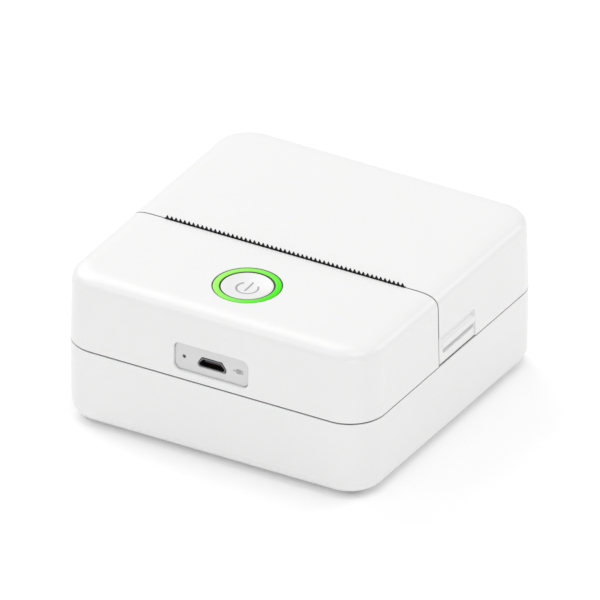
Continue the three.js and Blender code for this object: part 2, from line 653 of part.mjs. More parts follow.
function heatsink() {
  const half = paperHalf - 0.5;
  const top = platen.z + HEATSINK_ABOVE_AXIS;
  const plate = block(-half, half, heatsinkFront, heatsinkBack - 0.02, headPivot.z, top);
  const barrel = rodX(HEAD_BARREL_RADIUS, -half, half, headPivot.y, headPivot.z, 16);
  const hole = rodX(HEAD_PIVOT_RADIUS + HEAD_PIVOT_FREE, -far, far, headPivot.y, headPivot.z, 16);
  return cut(join(plate, barrel), hole);
}

function thermalHead() {
  const half = paperHalf - 1.5;
  return block(-half, half, heatsinkBack, headFace, platen.z - HEAD_HEIGHT / 2, platen.z + HEAD_HEIGHT / 2);
}

class Helix extends THREE.Curve {
  constructor(radius, length, turns) {
    super();
    this.radius = radius;
    this.length = length;
    this.turns = turns;
  }

  getPoint(t, target = new THREE.Vector3()) {
    const angle = t * this.turns * 2 * Math.PI;
    return target.set(this.radius * Math.cos(angle), t * this.length, this.radius * Math.sin(angle));
  }
}

function headSpring() {
  const margin = SPRING_WIRE + 0.1;
  const path = new Helix(SPRING_RADIUS, SPRING_LENGTH - 2 * margin, SPRING_TURNS);
  const wire = polygon([0, 1, 2, 3, 4].map((corner) => [
    SPRING_WIRE * Math.cos(corner * radians(72)), SPRING_WIRE * Math.sin(corner * radians(72))]));
  const geometry = new THREE.ExtrudeGeometry(wire, {
    steps: 28, bevelEnabled: false, extrudePath: path,
  });
  return geometry.translate(0, margin, 0);
}

// A ribbon from the connector on the board up to the back of the head.
function headFlex() {
  const thickness = 0.25;
  const from = { y: connectorRear + 0.1, z: boardTop + 1.3 };
  const to = { y: heatsinkFront - 0.9, z: platen.z + HEATSINK_ABOVE_AXIS - 2.2 };
  const steps = 8;
  const upper = [];
  const lower = [];
  for (let step = 0; step <= steps; step += 1) {
    const t = step / steps;
    const ease = t * t * (3 - 2 * t);
    const y = from.y + (to.y - from.y) * t;
    const z = from.z + (to.z - from.z) * ease;
    upper.push([y, z + thickness]);
    lower.unshift([y, z]);
  }
  return slabX(polygon([...upper, ...lower].reverse()), -10, 10);
}

function tearBar() {
  const pitch = TEAR_WIDTH / TEAR_TEETH;
  const flangeTop = ceiling - FIT;
  const flangeBottom = flangeTop - TEAR_FLANGE_THICKNESS;
  const outline = [[-TEAR_WIDTH / 2, flangeBottom], [TEAR_WIDTH / 2, flangeBottom]];
  for (let tooth = TEAR_TEETH; tooth > 0; tooth -= 1) {
    const right = tooth * pitch - TEAR_WIDTH / 2;
    outline.push([right, caseTop], [right - pitch / 2, caseTop + TOOTH_HEIGHT]);
  }
  outline.push([-TEAR_WIDTH / 2, caseTop]);
  const front = coverEnd - 0.05;
  const blade = slabY(polygon(outline), front, front + TEAR_THICKNESS);
  const flange = block(-TEAR_WIDTH / 2, TEAR_WIDTH / 2, front - TEAR_FLANGE, front + TEAR_THICKNESS,
    flangeBottom, flangeTop);
  return join(blade, flange);
}

// ---------------------------------------------------------------- gear train
function meshedWith(axis, teeth, otherTeeth, bearing) {
  const distance = GEAR_MODULE * (teeth + otherTeeth) / 2;
  return {
    y: axis.y + distance * Math.cos(radians(bearing)),
    z: axis.z + distance * Math.sin(radians(bearing)),
  };
}

// Outline of a spur gear with straight flanks between the root and the tip of an involute, and one
// tooth centred on the given bearing.
function gearOutline(teeth, toothBearing) {
  const pressure = radians(20);
  const pitchRadius = GEAR_MODULE * teeth / 2;
  const baseRadius = pitchRadius * Math.cos(pressure);
  const tip = pitchRadius + 0.9 * GEAR_MODULE;
  const root = pitchRadius - 1.25 * GEAR_MODULE;
  const involute = (angle) => Math.tan(angle) - angle;
  const pitchHalf = Math.PI / (2 * teeth) - TOOTH_BACKLASH / (2 * pitchRadius);
  const halfAt = (radius) => pitchHalf + involute(pressure)
    - involute(Math.acos(baseRadius / Math.max(radius, baseRadius)));
  const points = [];
  for (let tooth = 0; tooth < teeth; tooth += 1) {
    const centre = radians(toothBearing) + tooth * 2 * Math.PI / teeth;
    const corners = [[root, -halfAt(root)], [tip, -halfAt(tip)], [tip, halfAt(tip)], [root, halfAt(root)]];
    for (const [radius, offset] of corners) {
      points.push([radius * Math.cos(centre + offset), radius * Math.sin(centre + offset)]);
    }
  }
  return points;
}

function gear(teeth, toothBearing, bore, x0, x1) {
  const shape = polygon(gearOutline(teeth, toothBearing));
  const hole = new THREE.Path();
  hole.absarc(0, 0, bore, 0, 2 * Math.PI, true);
  shape.holes.push(hole);
  return slabX(shape, x0, x1, 6);
}

// The bearing of a tooth on the second gear, so that its gap meets the first gear's tooth.
const facingGap = (bearing, teeth) => bearing + 180 + 180 / teeth;

const platenGear = () => gear(
  PLATEN_TEETH, facingGap(IDLER_BEARING + 180, PLATEN_TEETH), SHAFT_RADIUS + GEAR_SEAT,
  -gearFar, -gearNear);

const idlerGear = () => gear(
  IDLER_TEETH, IDLER_BEARING + 180, AXLE_RADIUS + AXLE_FREE, -gearFar, -gearNear);

function reductionGear() {
  const bore = AXLE_RADIUS + AXLE_FREE;
  const small = gear(
    SMALL_TEETH, facingGap(REDUCTION_BEARING, SMALL_TEETH), bore, -largeNear - 0.01, -gearNear);
  const large = gear(LARGE_TEETH, PINION_BEARING, bore, -largeFar, -largeNear);
  return join(small, large);
}

const motorPinion = () => gear(
  PINION_TEETH, facingGap(PINION_BEARING, PINION_TEETH), MOTOR_SHAFT_RADIUS + GEAR_SEAT,
  -largeFar, -largeNear);

function stepperMotor() {
  const front = -frameInner + 0.1;
  const rear = front + MOTOR_LENGTH;
  const can = turned([
    [0, rear], [MOTOR_RADIUS - 0.6, rear], [MOTOR_RADIUS, rear - 0.6], [MOTOR_RADIUS, front], [0, front],
  ].reverse(), 28, LATHE_X);
  const terminals = block(front + 3, rear - 3, -2.5, 2.5, -MOTOR_RADIUS - 0.6, 0);
  const shaftHole = rodX(MOTOR_SHAFT_RADIUS + AXLE_FREE, front - 1, front + 4, 0, 0, 12);
  return cut(join(can, terminals), shaftHole);
}

// ---------------------------------------------------------------- button and light ring
function powerButton() {
  const rim = caseTop - 0.12;
  const points = [
    [0, plungerTop + 0.05], [STEM_RADIUS, plungerTop + 0.05], [STEM_RADIUS, ringBottom - 0.7],
    [BUTTON_RADIUS + BUTTON_FLANGE, ringBottom - 0.7], [BUTTON_RADIUS + BUTTON_FLANGE, ringBottom - 0.1],
    [BUTTON_RADIUS, ringBottom - 0.1], [BUTTON_RADIUS, rim - 0.3], [BUTTON_RADIUS - 0.25, rim],
  ];
  for (const share of [0.75, 0.45, 0]) {
    points.push([(BUTTON_RADIUS - 0.25) * share, rim - BUTTON_DISH * (1 - share * share)]);
  }
  return turned(points, 28, LATHE_UP);
}

function lightRing() {
  const top = caseTop - 0.02;
  const flange = ringOuter + RING_FLANGE;
  const shoulder = ringBottom + RING_FLANGE_HEIGHT;
  return turned([
    [ringInner, ringBottom], [flange, ringBottom], [flange, shoulder], [ringOuter, shoulder],
    [ringOuter, top - 0.15], [ringOuter - 0.2, top], [ringInner + 0.2, top], [ringInner, top - 0.15],
    [ringInner, ringBottom],
  ], 32, LATHE_UP);
}

// ---------------------------------------------------------------- socket panel
// Outline of the charging socket, drawn about its middle and grown by a margin.
function socketOutline(margin) {
  const low = SOCKET_WIDTH / 2 + margin;
  const high = SOCKET_TOP_WIDTH / 2 + margin;
  const half = SOCKET_HEIGHT / 2 + margin;
  const knee = -0.1 * SOCKET_HEIGHT;
  return polygon([
    [-low + 0.4, -half], [low - 0.4, -half], [low, -half + 0.4], [low, knee], [high, half],
    [-high, half], [-low, knee], [-low, -half + 0.4],
  ]);
}

function portBezel() {
  const plate = roundedRectangle(BEZEL_WIDTH / 2, BEZEL_HEIGHT / 2, BEZEL_RADIUS);
  const flange = roundedRectangle(
    BEZEL_WIDTH / 2 + BEZEL_FLANGE, BEZEL_HEIGHT / 2 + BEZEL_FLANGE, BEZEL_RADIUS);
  const socketHole = slabY(socketOutline(0.15), -far, 0).translate(0, 0, socketZ - bezelZ);
  const lightHole = rodY(LIGHT_RADIUS + 0.06, -far, 0, LIGHT_X, 0, 12);
  return cut(
    join(slabY(plate, bezelFace, bezelBack + 0.1, 2), slabY(flange, bezelBack, bezelBack + 0.8, 2)),
    socketHole, lightHole);
}

function socketShell() {
  const rear = SOCKET_LENGTH;
  return cut(slabY(socketOutline(0), 0, rear), slabY(socketOutline(-SOCKET_WALL), -1, rear - 0.5));
}

function socketTongue() {
  return block(-2.2, 2.2, 0.6, SOCKET_LENGTH - 0.6, 0.05, 0.6);
}

// ---------------------------------------------------------------- control board and battery
const connectorRear = boardFront + BOARD_DEPTH - 0.6;

function mainBoard() {
  let board = solid(block(-boardHalf, boardHalf, boardFront, boardFront + BOARD_DEPTH,
    boardBottom, boardTop));
  for (const side of [-1, 1]) {
    board = cut(board, rodZ(SCREW_RADIUS + 0.1, -far, far, side * boardBossX,
      boardFront + BOARD_BOSS_BACK, 12));
  }
  return board;
}

function tactSwitch() {
  const half = SWITCH_SIZE / 2;
  const body = block(-half, half, -half, half, 0, SWITCH_HEIGHT);
  return cut(body, rodZ(PLUNGER_RADIUS + 0.15, SWITCH_HEIGHT - PLUNGER_WELL, far, 0, 0));
}

function switchPlunger() {
  const low = SWITCH_HEIGHT - PLUNGER_WELL + BUTTON_TRAVEL + 0.2;
  return rodZ(PLUNGER_RADIUS, low, SWITCH_HEIGHT + PLUNGER_SHOW, 0, 0);
}

// A small component that stands on its own base.
function component(width, depth, height) {
  return block(-width / 2, width / 2, -depth / 2, depth / 2, 0, height);
}

function batteryPack() {
  const outline = roundedRectangle(BATTERY_DEPTH / 2, BATTERY_HEIGHT / 2, BATTERY_RADIUS);
  return slabX(outline, batteryLeft - battery.x, batteryRight - battery.x, 3);
}

const batteryLeft = -frameInner + 0.1 + MOTOR_LENGTH + BATTERY_MOTOR_GAP;
const batteryRight = bossX - BOSS_RADIUS - BATTERY_BOSS_GAP;
const battery = {
  x: (batteryLeft + batteryRight) / 2,
  y: frontY + WALL + 2 + BATTERY_DEPTH / 2,
  z: floorTop + FIT + BATTERY_HEIGHT / 2,
};
const leadPlug = { x: boardHalf - 5.5, y: -17 };

function batteryLead() {
  const end = batteryRight;
  const route = new THREE.CatmullRomCurve3([
    new THREE.Vector3(end + 0.7, battery.y, battery.z + 2),
    new THREE.Vector3(end + 1.6, battery.y + 0.6, battery.z + 3.5),
    new THREE.Vector3(end + 1.2, battery.y + 3, battery.z + 8),
    new THREE.Vector3(end - 0.6, leadPlug.y - 2, boardBottom - 3.2),
    new THREE.Vector3(leadPlug.x + 2.8, leadPlug.y, boardBottom - 1.2),
  ]);
  const sheath = new THREE.Shape();
  sheath.absarc(0, 0, 0.55, 0, 2 * Math.PI);
  return new THREE.ExtrudeGeometry(sheath, {
    steps: 20, bevelEnabled: false, curveSegments: 4, extrudePath: route,
  });
}

// ---------------------------------------------------------------- assembly
function caseGroup() {
  const group = new THREE.Group();
  group.add(part('bottom_shell', FINISH.shell, bottomShell()));
  group.add(part('front_cover', FINISH.shell, frontCover()));
  for (const [sideName, side] of SIDES) {
    for (const [endName, end, bossY] of [['front', -1, frontBossY], ['rear', 1, rearBossY]]) {
      const reach = end < 0 ? aboveSeam + SCREW_BITE : rearBossTop + FIT + 3;
      group.add(part(`foot_${endName}_${sideName}`, FINISH.rubber, foot(),
        side * footX, end * footCentreY));
      group.add(part(`case_screw_${endName}_${sideName}`, FINISH.steel, screw(reach - screwHeadTop),
        side * bossX, bossY, screwHeadTop));
    }
    group.add(part(`hinge_pin_${sideName}`, FINISH.steel, hingePin(),
      side * HINGE_EAR_X, hinge.y, hinge.z));
  }
  return group;
}

function lidGroup() {
  const group = new THREE.Group();
  group.add(part('paper_lid', FINISH.shell, paperLid()));
  const mechanism = new THREE.Group();
  mechanism.position.set(0, platen.y, platen.z);
  mechanism.add(part('platen_carrier', FINISH.frame, platenCarrier()));
  const roller = tube(PLATEN_RADIUS, SHAFT_RADIUS + 0.03, PAPER_WIDTH - 0.4, 32);
  mechanism.add(part('platen_roller', FINISH.rubber, roller));
  const shaftEnd = frameOuter + 0.2;
  mechanism.add(part('platen_shaft', FINISH.steel, rodX(SHAFT_RADIUS, -gearFar - 0.1, shaftEnd, 0, 0, 16)));
  mechanism.add(part('platen_gear', FINISH.gear, platenGear()));
  for (const [sideName, side] of SIDES) {
    const bush = tube(BUSH_RADIUS, SHAFT_RADIUS + RUNNING, FRAME_THICKNESS, 20);
    mechanism.add(part(`platen_bush_${sideName}`, FINISH.gear, bush, side * (frameInner + frameOuter) / 2));
  }
  group.add(mechanism);
  return group;
}

function bayGroup() {
  const group = new THREE.Group();
  group.position.set(0, roll.y, roll.z);
  group.add(part('paper_bay', FINISH.bay, paperBay()));
  group.add(part('paper_roll', FINISH.paper, tube(ROLL_RADIUS, ROLL_CORE_RADIUS + 0.03, PAPER_WIDTH, 40)));
  group.add(part('roll_core', FINISH.card, tube(ROLL_CORE_RADIUS, ROLL_CORE_BORE, PAPER_WIDTH, 24)));
  return group;
}

function mechanismGroup() {
  const group = new THREE.Group();
  group.add(part('mech_frame', FINISH.frame, mechFrame()));
  group.add(part('tear_bar', FINISH.tear, tearBar()));
  group.add(part('head_heatsink', FINISH.aluminium, heatsink()));
  group.add(part('thermal_head', FINISH.ceramic, thermalHead()));
  group.add(part('head_pivot_pin', FINISH.steel,
    rodX(HEAD_PIVOT_RADIUS, -frameOuter, frameOuter, 0, 0, 12), 0, headPivot.y, headPivot.z));
  group.add(part('head_flex', FINISH.flex, headFlex()));
  for (const [sideName, side] of SIDES) {
    group.add(part(`head_spring_${sideName}`, FINISH.steel, headSpring(),
      side * SPRING_X, springWall, platen.z - SPRING_BELOW_AXIS));
  }
  group.add(part('idler_gear', FINISH.gear, idlerGear(), 0, idler.y, idler.z));
  group.add(part('idler_axle', FINISH.steel,
    rodX(AXLE_RADIUS, -gearFar - 0.1, -frameInner, 0, 0, 12), 0, idler.y, idler.z));
  group.add(part('reduction_gear', FINISH.gear, reductionGear(), 0, reduction.y, reduction.z));
  group.add(part('reduction_axle', FINISH.steel,
    rodX(AXLE_RADIUS, -largeFar - 0.2, -frameInner, 0, 0, 12), 0, reduction.y, reduction.z));
  group.add(part('stepper_motor', FINISH.steel, stepperMotor(), 0, motor.y, motor.z));
  group.add(part('motor_shaft', FINISH.steel,
    rodX(MOTOR_SHAFT_RADIUS, -largeFar - 0.2, -frameInner + 3, 0, 0, 12), 0, motor.y, motor.z));
  group.add(part('motor_pinion', FINISH.gear, motorPinion(), 0, motor.y, motor.z));
  const sensor = component(5, 2.2, 3);
  group.add(part('paper_sensor', FINISH.chip, sensor, 0, platen.y + 2, platen.z - 11));
  return group;
}

function controlsGroup() {
  const group = new THREE.Group();
  group.add(part('main_board', FINISH.board, mainBoard()));
  group.add(part('port_bezel', FINISH.bezel, portBezel(), 0, 0, bezelZ));
  group.add(part('socket_shell', FINISH.steel, socketShell(), 0, bezelFace + 0.15, socketZ));
  group.add(part('socket_tongue', FINISH.chip, socketTongue(), 0, bezelFace + 0.15, socketZ));
  group.add(part('status_light_pipe', FINISH.lens,
    rodY(LIGHT_RADIUS, bezelFace + 0.5, boardFront + 1.2, 0, 0, 12), LIGHT_X, 0, bezelZ));
  group.add(part('status_led', FINISH.led, component(2, 1.6, 1.3),
    LIGHT_X, boardFront + 2.3, boardBottom - 1.35));

  const buttonStack = new THREE.Group();
  buttonStack.position.set(0, BUTTON_Y, 0);
  buttonStack.add(part('power_button', FINISH.button, powerButton()));
  buttonStack.add(part('light_ring', FINISH.ring, lightRing()));
  buttonStack.add(part('tact_switch', FINISH.chip, tactSwitch(), 0, 0, boardTop));
  buttonStack.add(part('switch_plunger', FINISH.button, switchPlunger(), 0, 0, boardTop));
  const lightCount = 4;
  for (let light = 0; light < lightCount; light += 1) {
    const bearing = radians(45 + light * 360 / lightCount);
    const reach = (ringInner + ringOuter) / 2;
    buttonStack.add(part(`ring_led_${light + 1}`, FINISH.led, component(1.6, 1.6, 0.8),
      reach * Math.cos(bearing), reach * Math.sin(bearing), boardTop + 0.02));
  }
  group.add(buttonStack);

  group.add(part('control_chip', FINISH.chip, component(7, 7, 1),
    boardHalf - 13.5, -27, boardTop + 0.02));
  group.add(part('radio_module', FINISH.aluminium, component(12, 10, 1.8),
    12.5 - boardHalf, -26, boardTop + 0.02));
  group.add(part('head_connector', FINISH.chip, component(22, 3.4, 2),
    0, connectorRear - 1.7, boardTop + 0.02));
  group.add(part('battery_connector', FINISH.chip, component(4, 4, 2),
    leadPlug.x, leadPlug.y, boardBottom - 2.02));
  group.add(part('battery_pack', FINISH.battery, batteryPack(), battery.x, battery.y, battery.z));
  group.add(part('battery_lead', FINISH.lead, batteryLead()));
  for (const [sideName, side] of SIDES) {
    const boardScrew = screw(BOARD_THICKNESS + 4);
    group.add(part(`board_screw_${sideName}`, FINISH.steel, boardScrew,
      side * boardBossX, boardFront + BOARD_BOSS_BACK, boardBottom - 0.05));
  }
  return group;
}

const printer = new THREE.Group();
printer.add(caseGroup(), lidGroup(), bayGroup(), mechanismGroup(), controlsGroup());

export default printer;
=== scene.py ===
"""The looks of a pocket thermal label printer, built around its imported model.

Every piece is in metres, in the model's own frame: the printer stands on z = 0, its front with
the charging socket faces -Y and its lid is hinged along the rear.
"""

import json
import logging
import math
from dataclasses import dataclass, field
from enum import Enum
from typing import Callable, Iterable, Self, Sequence

import bpy
from mathutils import Matrix, Vector


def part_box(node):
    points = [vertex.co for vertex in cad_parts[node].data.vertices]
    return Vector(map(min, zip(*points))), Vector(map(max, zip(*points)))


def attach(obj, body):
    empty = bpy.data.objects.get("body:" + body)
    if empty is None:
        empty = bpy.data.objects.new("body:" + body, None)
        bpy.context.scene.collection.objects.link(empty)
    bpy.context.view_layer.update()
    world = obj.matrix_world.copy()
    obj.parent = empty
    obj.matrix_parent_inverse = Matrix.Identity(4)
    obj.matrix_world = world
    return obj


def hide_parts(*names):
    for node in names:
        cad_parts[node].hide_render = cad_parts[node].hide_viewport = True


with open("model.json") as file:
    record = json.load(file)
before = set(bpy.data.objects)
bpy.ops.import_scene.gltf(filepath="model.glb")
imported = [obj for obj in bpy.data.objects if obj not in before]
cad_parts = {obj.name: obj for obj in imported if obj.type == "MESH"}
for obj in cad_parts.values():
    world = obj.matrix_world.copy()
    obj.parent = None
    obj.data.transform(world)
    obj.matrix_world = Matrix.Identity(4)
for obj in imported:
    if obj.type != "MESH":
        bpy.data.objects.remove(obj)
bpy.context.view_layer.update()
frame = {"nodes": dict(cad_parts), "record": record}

log = logging.getLogger("label_printer")
MM = 0.001
Point = tuple[float, float, float]
Flat = tuple[float, float]
Tree = bpy.types.NodeTree
Socket = bpy.types.NodeSocket
Texture = tuple[Socket, Socket, Socket]
SHARP = 40.0
COAT_ROUGHNESS = 0.12
SOFT_REACH = (0.0012, 0.0011, 0.001)


class Body(str, Enum):
    """The moving bodies that pieces ride on."""

    BASE = "base"
    LID = "lid"
    PLATEN = "platen"
    IDLER = "idler"
    REDUCTION = "reduction"
    MOTOR_ROTOR = "motor_rotor"
    ROLL = "roll"
    BUTTON = "button"
    HEAD = "head"


class Axis(Enum):
    """The way a turned or extruded piece runs, as (first, second, along) row axes."""

    X = (1, 2, 0)
    Y = (2, 0, 1)
    Z = (0, 1, 2)

    def place(self, first: float, second: float, along: float) -> Vector:
        """Puts a point of a piece's own plane into the frame.

        Args:
            first: Distance along the plane's first axis.
            second: Distance along its second axis.
            along: Distance along the piece.

        Returns:
            The point in the frame.
        """
        point = Vector((0.0, 0.0, 0.0))
        for axis, value in zip(self.value, (first, second, along)):
            point[axis] = value
        return point


# ---------------------------------------------------------------- modelling


def pick(obj: bpy.types.Object | None) -> None:
    """Leaves edit mode and makes one object the only selected and active one.

    Args:
        obj: The object to work on, or None to leave nothing selected.
    """
    if bpy.context.mode != "OBJECT":
        bpy.ops.object.mode_set(mode="OBJECT")
    bpy.ops.object.select_all(action="DESELECT")
    if obj:
        obj.select_set(True)
        bpy.context.view_layer.objects.active = obj


def arc(radius: float, angles: Iterable[float], middle: Flat = (0.0, 0.0)) -> list[Flat]:
    """Points on a circle, one for each angle."""
    return [(middle[0] + radius * math.cos(a), middle[1] + radius * math.sin(a)) for a in angles]


def turns(start: float, sweep: float, count: int) -> list[float]:
    """Angles from a start over a sweep, in equal steps, both ends included."""
    return [start + sweep * k / count for k in range(count + 1)]


def circle(radius: float, sides: int) -> list[Flat]:
    """Outline of a circle, counterclockwise."""
    return arc(radius, turns(0.0, 2 * math.pi, sides)[:-1])


def rounded_rectangle(half_x: float, half_y: float, radius: float, segments: int) -> list[Flat]:
    """Outline of a rectangle with round corners, counterclockwise.

    Args:
        half_x: Half its first side.
        half_y: Half its second side.
        radius: The corners' radius.
        segments: How many steps each corner has.

    Returns:
        The outline's points.
    """
    points = []
    for quarter, (side_x, side_y) in enumerate(((1, 1), (-1, 1), (-1, -1), (1, -1))):
        middle = (side_x * (half_x - radius), side_y * (half_y - radius))
        points += arc(radius, turns(quarter * math.pi / 2, math.pi / 2, segments), middle)
    return points


def capsule(start: float, end: float, height: float, radius: float) -> list[Flat]:
    """Outline of a bar with round ends, counterclockwise."""
    return (arc(radius, turns(-math.pi / 2, math.pi, 12), (end - radius, height))
            + arc(radius, turns(math.pi / 2, math.pi, 12), (start + radius, height)))


def upright(points: Sequence[Flat]) -> list[Flat]:
    """Turns an (x, z) outline into the (z, x) one that Axis.Y takes."""
    return [(z, x) for x, z in reversed(points)]


def rounding(radius: float, count: int) -> list[Flat]:
    """Steps (rise, inset) that round an upper rim, for Workpiece.steps."""
    points = arc(radius, turns(0.0, math.pi / 2, count))
    return [(y1 - y0, x0 - x1) for (x0, y0), (x1, y1) in zip(points, points[1:])]


def middle_of(low: Sequence[float], high: Sequence[float], first: int = 0, second: int = 1) -> Flat:
    """Middle of a box, seen along the axis that is not named."""
    return (low[first] + high[first]) / 2, (low[second] + high[second]) / 2


class Workpiece:
    """A mesh in the making: started from a primitive and shaped with edit-mode operators."""

    def __init__(self, obj: bpy.types.Object, name: str) -> None:
        """Takes hold of an object and names it.

        Args:
            obj: The object that the piece is made from.
            name: The piece's name.
        """
        self.obj = obj
        obj.name = name
        obj.data.name = name

    @classmethod
    def disc(cls, name: str, radius: float, centre: Sequence[float], sides: int = 96) -> Self:
        """Starts from a filled circle that faces up, selected in edit mode."""
        return cls.outline(name, circle(radius, sides), Axis.Z, centre[2], centre[:2])

    @classmethod
    def outline(cls, name: str, points: Sequence[Flat], axis: Axis, along: float,
                centre: Flat = (0.0, 0.0)) -> Self:
        """Starts from a flat face with a drawn outline.

        Args:
            name: The piece's name.
            points: The outline, counterclockwise seen against the axis.
            axis: The axis that the face looks along.
            along: Where the face lies on that axis.
            centre: What is added to every point.

        Returns:
            The new piece, with its face selected in edit mode.
        """
        pick(None)
        bpy.ops.mesh.primitive_circle_add(vertices=len(points), radius=1.0, fill_type="NGON")
        piece = cls(bpy.context.object, name)
        for vertex, (first, second) in zip(piece.obj.data.vertices, points):
            vertex.co = axis.place(first + centre[0], second + centre[1], along)
        return piece.edit()

    @classmethod
    def block(cls, name: str, low: Sequence[float], high: Sequence[float]) -> Self:
        """Starts from a box between two corners.

        Args:
            name: The piece's name.
            low: Its lowest corner.
            high: Its highest corner.

        Returns:
            The new piece, in object mode.
        """
        pick(None)
        middle = [(a + b) / 2 for a, b in zip(low, high)]
        bpy.ops.mesh.primitive_cube_add(size=1.0, location=middle)
        bpy.context.object.scale = [b - a for a, b in zip(low, high)]
        bpy.ops.object.transform_apply()
        return cls(bpy.context.object, name)

    @classmethod
    def bar(cls, name: str, radius: float, axis: Axis, start: float, end: float,
            centre: Flat, sides: int = 64) -> Self:
        """Starts from a round bar along an axis, between two places on it."""
        return cls.outline(name, circle(radius, sides), axis, start, centre).extrude(axis, end - start)

    @classmethod
    def tube(cls, name: str, inner: float, outer: float, axis: Axis, start: float, end: float,
             centre: Flat, sides: int = 96) -> Self:
        """Starts from a round tube along an axis, between two places on it."""
        piece = cls.bar(name, outer, axis, start, end, centre, sides)
        return piece.cut(cls.bar("bore", inner, axis, start - MM, end + MM, centre, sides))

    @classmethod
    def copy_of(cls, node: str) -> Self:
        """Starts from a copy of a node of the frame, with its loose triangles joined up.

        Args:
            node: The node's name. The piece is named after it.

        Returns:
            The new piece, in object mode.
        """
        name = f"{node}_finished"
        obj = bpy.data.objects.new(name, frame["nodes"][node].data.copy())
        bpy.context.scene.collection.objects.link(obj)
        obj.data.materials.clear()
        piece = cls(obj, name).edit()
        bpy.ops.mesh.remove_doubles(threshold=2e-6)
        bpy.ops.mesh.dissolve_limited(angle_limit=math.radians(1.0))
        return piece.done()

    def edit(self, kind: str = "FACE", action: str = "SELECT") -> Self:
        """Enters edit mode with all of the piece selected, or none of it.

        Args:
            kind: What can be selected: VERT, EDGE or FACE.
            action: SELECT or DESELECT.

        Returns:
            The piece itself, in edit mode.
        """
        pick(self.obj)
        bpy.ops.object.mode_set(mode="EDIT")
        bpy.ops.mesh.select_mode(type=kind)
        bpy.ops.mesh.select_all(action=action)
        return self

    def done(self) -> Self:
        """Leaves edit mode and returns the piece."""
        bpy.ops.object.mode_set(mode="OBJECT")
        return self

    def face_out(self) -> Self:
        """Turns every face outwards, leaves edit mode and returns the piece."""
        bpy.ops.mesh.select_all(action="SELECT")
        bpy.ops.mesh.normals_make_consistent(inside=False)
        return self.done()

    def steps(self, levels: Iterable[Flat]) -> Self:
        """Raises the selected face step by step, each given as (rise, inset) from the last one."""
        for rise, inset in levels:
            bpy.ops.mesh.inset(thickness=max(inset, 1e-8), depth=rise, use_even_offset=True)
        return self

    def extrude(self, axis: Axis, length: float) -> Self:
        """Extrudes the selected face along an axis into a closed solid and returns it."""
        bpy.ops.mesh.extrude_region_move(TRANSFORM_OT_translate={"value": axis.place(0.0, 0.0, length)})
        return self.face_out()

    def slice(self, at: Sequence[float], normal: Sequence[float]) -> Self:
        """Cuts the mesh with a plane, drops what lies on the normal's side and returns the piece."""
        self.edit()
        bpy.ops.mesh.bisect(plane_co=at, plane_no=normal, clear_outer=True, use_fill=False)
        return self.done()

    def bevel_where(self, chosen: Callable[[Vector], bool], width: float, segments: int) -> Self:
        """Rounds the sharp edges whose both ends lie in a chosen place.

        Args:
            chosen: Tells whether a point lies there.
            width: The rounding's width.
            segments: How many steps the rounding has.

        Returns:
            The piece itself.
        """
        self.edit("EDGE", "DESELECT")
        bpy.ops.mesh.edges_select_sharp(sharpness=math.radians(40))
        self.done()
        mesh = self.obj.data
        for edge in mesh.edges:
            edge.select = edge.select and all(chosen(mesh.vertices[end].co) for end in edge.vertices)
        for part in (*mesh.vertices, *mesh.polygons):
            part.select = False
        bpy.ops.object.mode_set(mode="EDIT")
        bpy.ops.mesh.bevel(offset=width, segments=segments, affect="EDGES")
        return self.done()

    def modifier(self, kind: str, **settings: object) -> Self:
        """Adds a modifier and applies it.

        Args:
            kind: The modifier's type.
            **settings: Its settings.

        Returns:
            The piece itself.
        """
        pick(self.obj)
        bpy.ops.object.modifier_add(type=kind)
        tool = self.obj.modifiers[-1]
        for key, value in settings.items():
            setattr(tool, key, value)
        bpy.ops.object.modifier_apply(modifier=tool.name)
        return self

    def wall(self, thickness: float) -> Self:
        """Gives an open skin its wall, inwards, and returns the piece."""
        return self.modifier("SOLIDIFY", thickness=thickness, offset=-1.0, use_even_offset=True)

    def cut(self, *tools: Self) -> Self:
        """Takes solids away from the piece, drops them and returns the piece."""
        return self.combine("DIFFERENCE", tools)

    def join(self, *others: Self) -> Self:
        """Joins solids to the piece, drops them and returns the piece."""
        return self.combine("UNION", others)

    def combine(self, operation: str, others: Iterable[Self]) -> Self:
        """Combines solids with the piece.

        Args:
            operation: DIFFERENCE, UNION or INTERSECT.
            others: The solids.

        Returns:
            The piece itself.
        """
        for other in others:
            self.modifier("BOOLEAN", operation=operation, object=other.obj, solver="EXACT")
            bpy.data.objects.remove(other.obj, do_unlink=True)
        return self

    def cross_recess(self, centre: Flat, reach: float, half: float, floor: float, top: float) -> Self:
        """Cuts a crossed recess for a driver.

        Args:
            centre: Its middle.
            reach: Half the length of its slots.
            half: Half their width.
            floor: Where they start, in height.
            top: Where they end.

        Returns:
            The piece itself.
        """
        x, y = centre
        slots = [Workpiece.block("slot", (x - across, y - along, floor), (x + across, y + along, top))
                 for across, along in ((reach, half), (half, reach))]
        return self.cut(*slots)

    def soften(self, width: float, angle: float = SHARP, segments: int = 3) -> Self:
        """Rounds the edges sharper than an angle, given in degrees, and returns the piece."""
        return self.modifier(
            "BEVEL", width=width, segments=segments, limit_method="ANGLE",
            angle_limit=math.radians(angle), miter_outer="MITER_ARC", use_clamp_overlap=True)

    def smooth(self, angle: float = 32.0) -> Self:
        """Shades the piece smooth up to an angle in degrees, weighs its normals and returns it."""
        pick(self.obj)
        bpy.ops.object.shade_smooth_by_angle(angle=math.radians(angle), keep_sharp_edges=False)
        return self.modifier("WEIGHTED_NORMAL", keep_sharp=True, weight=90)

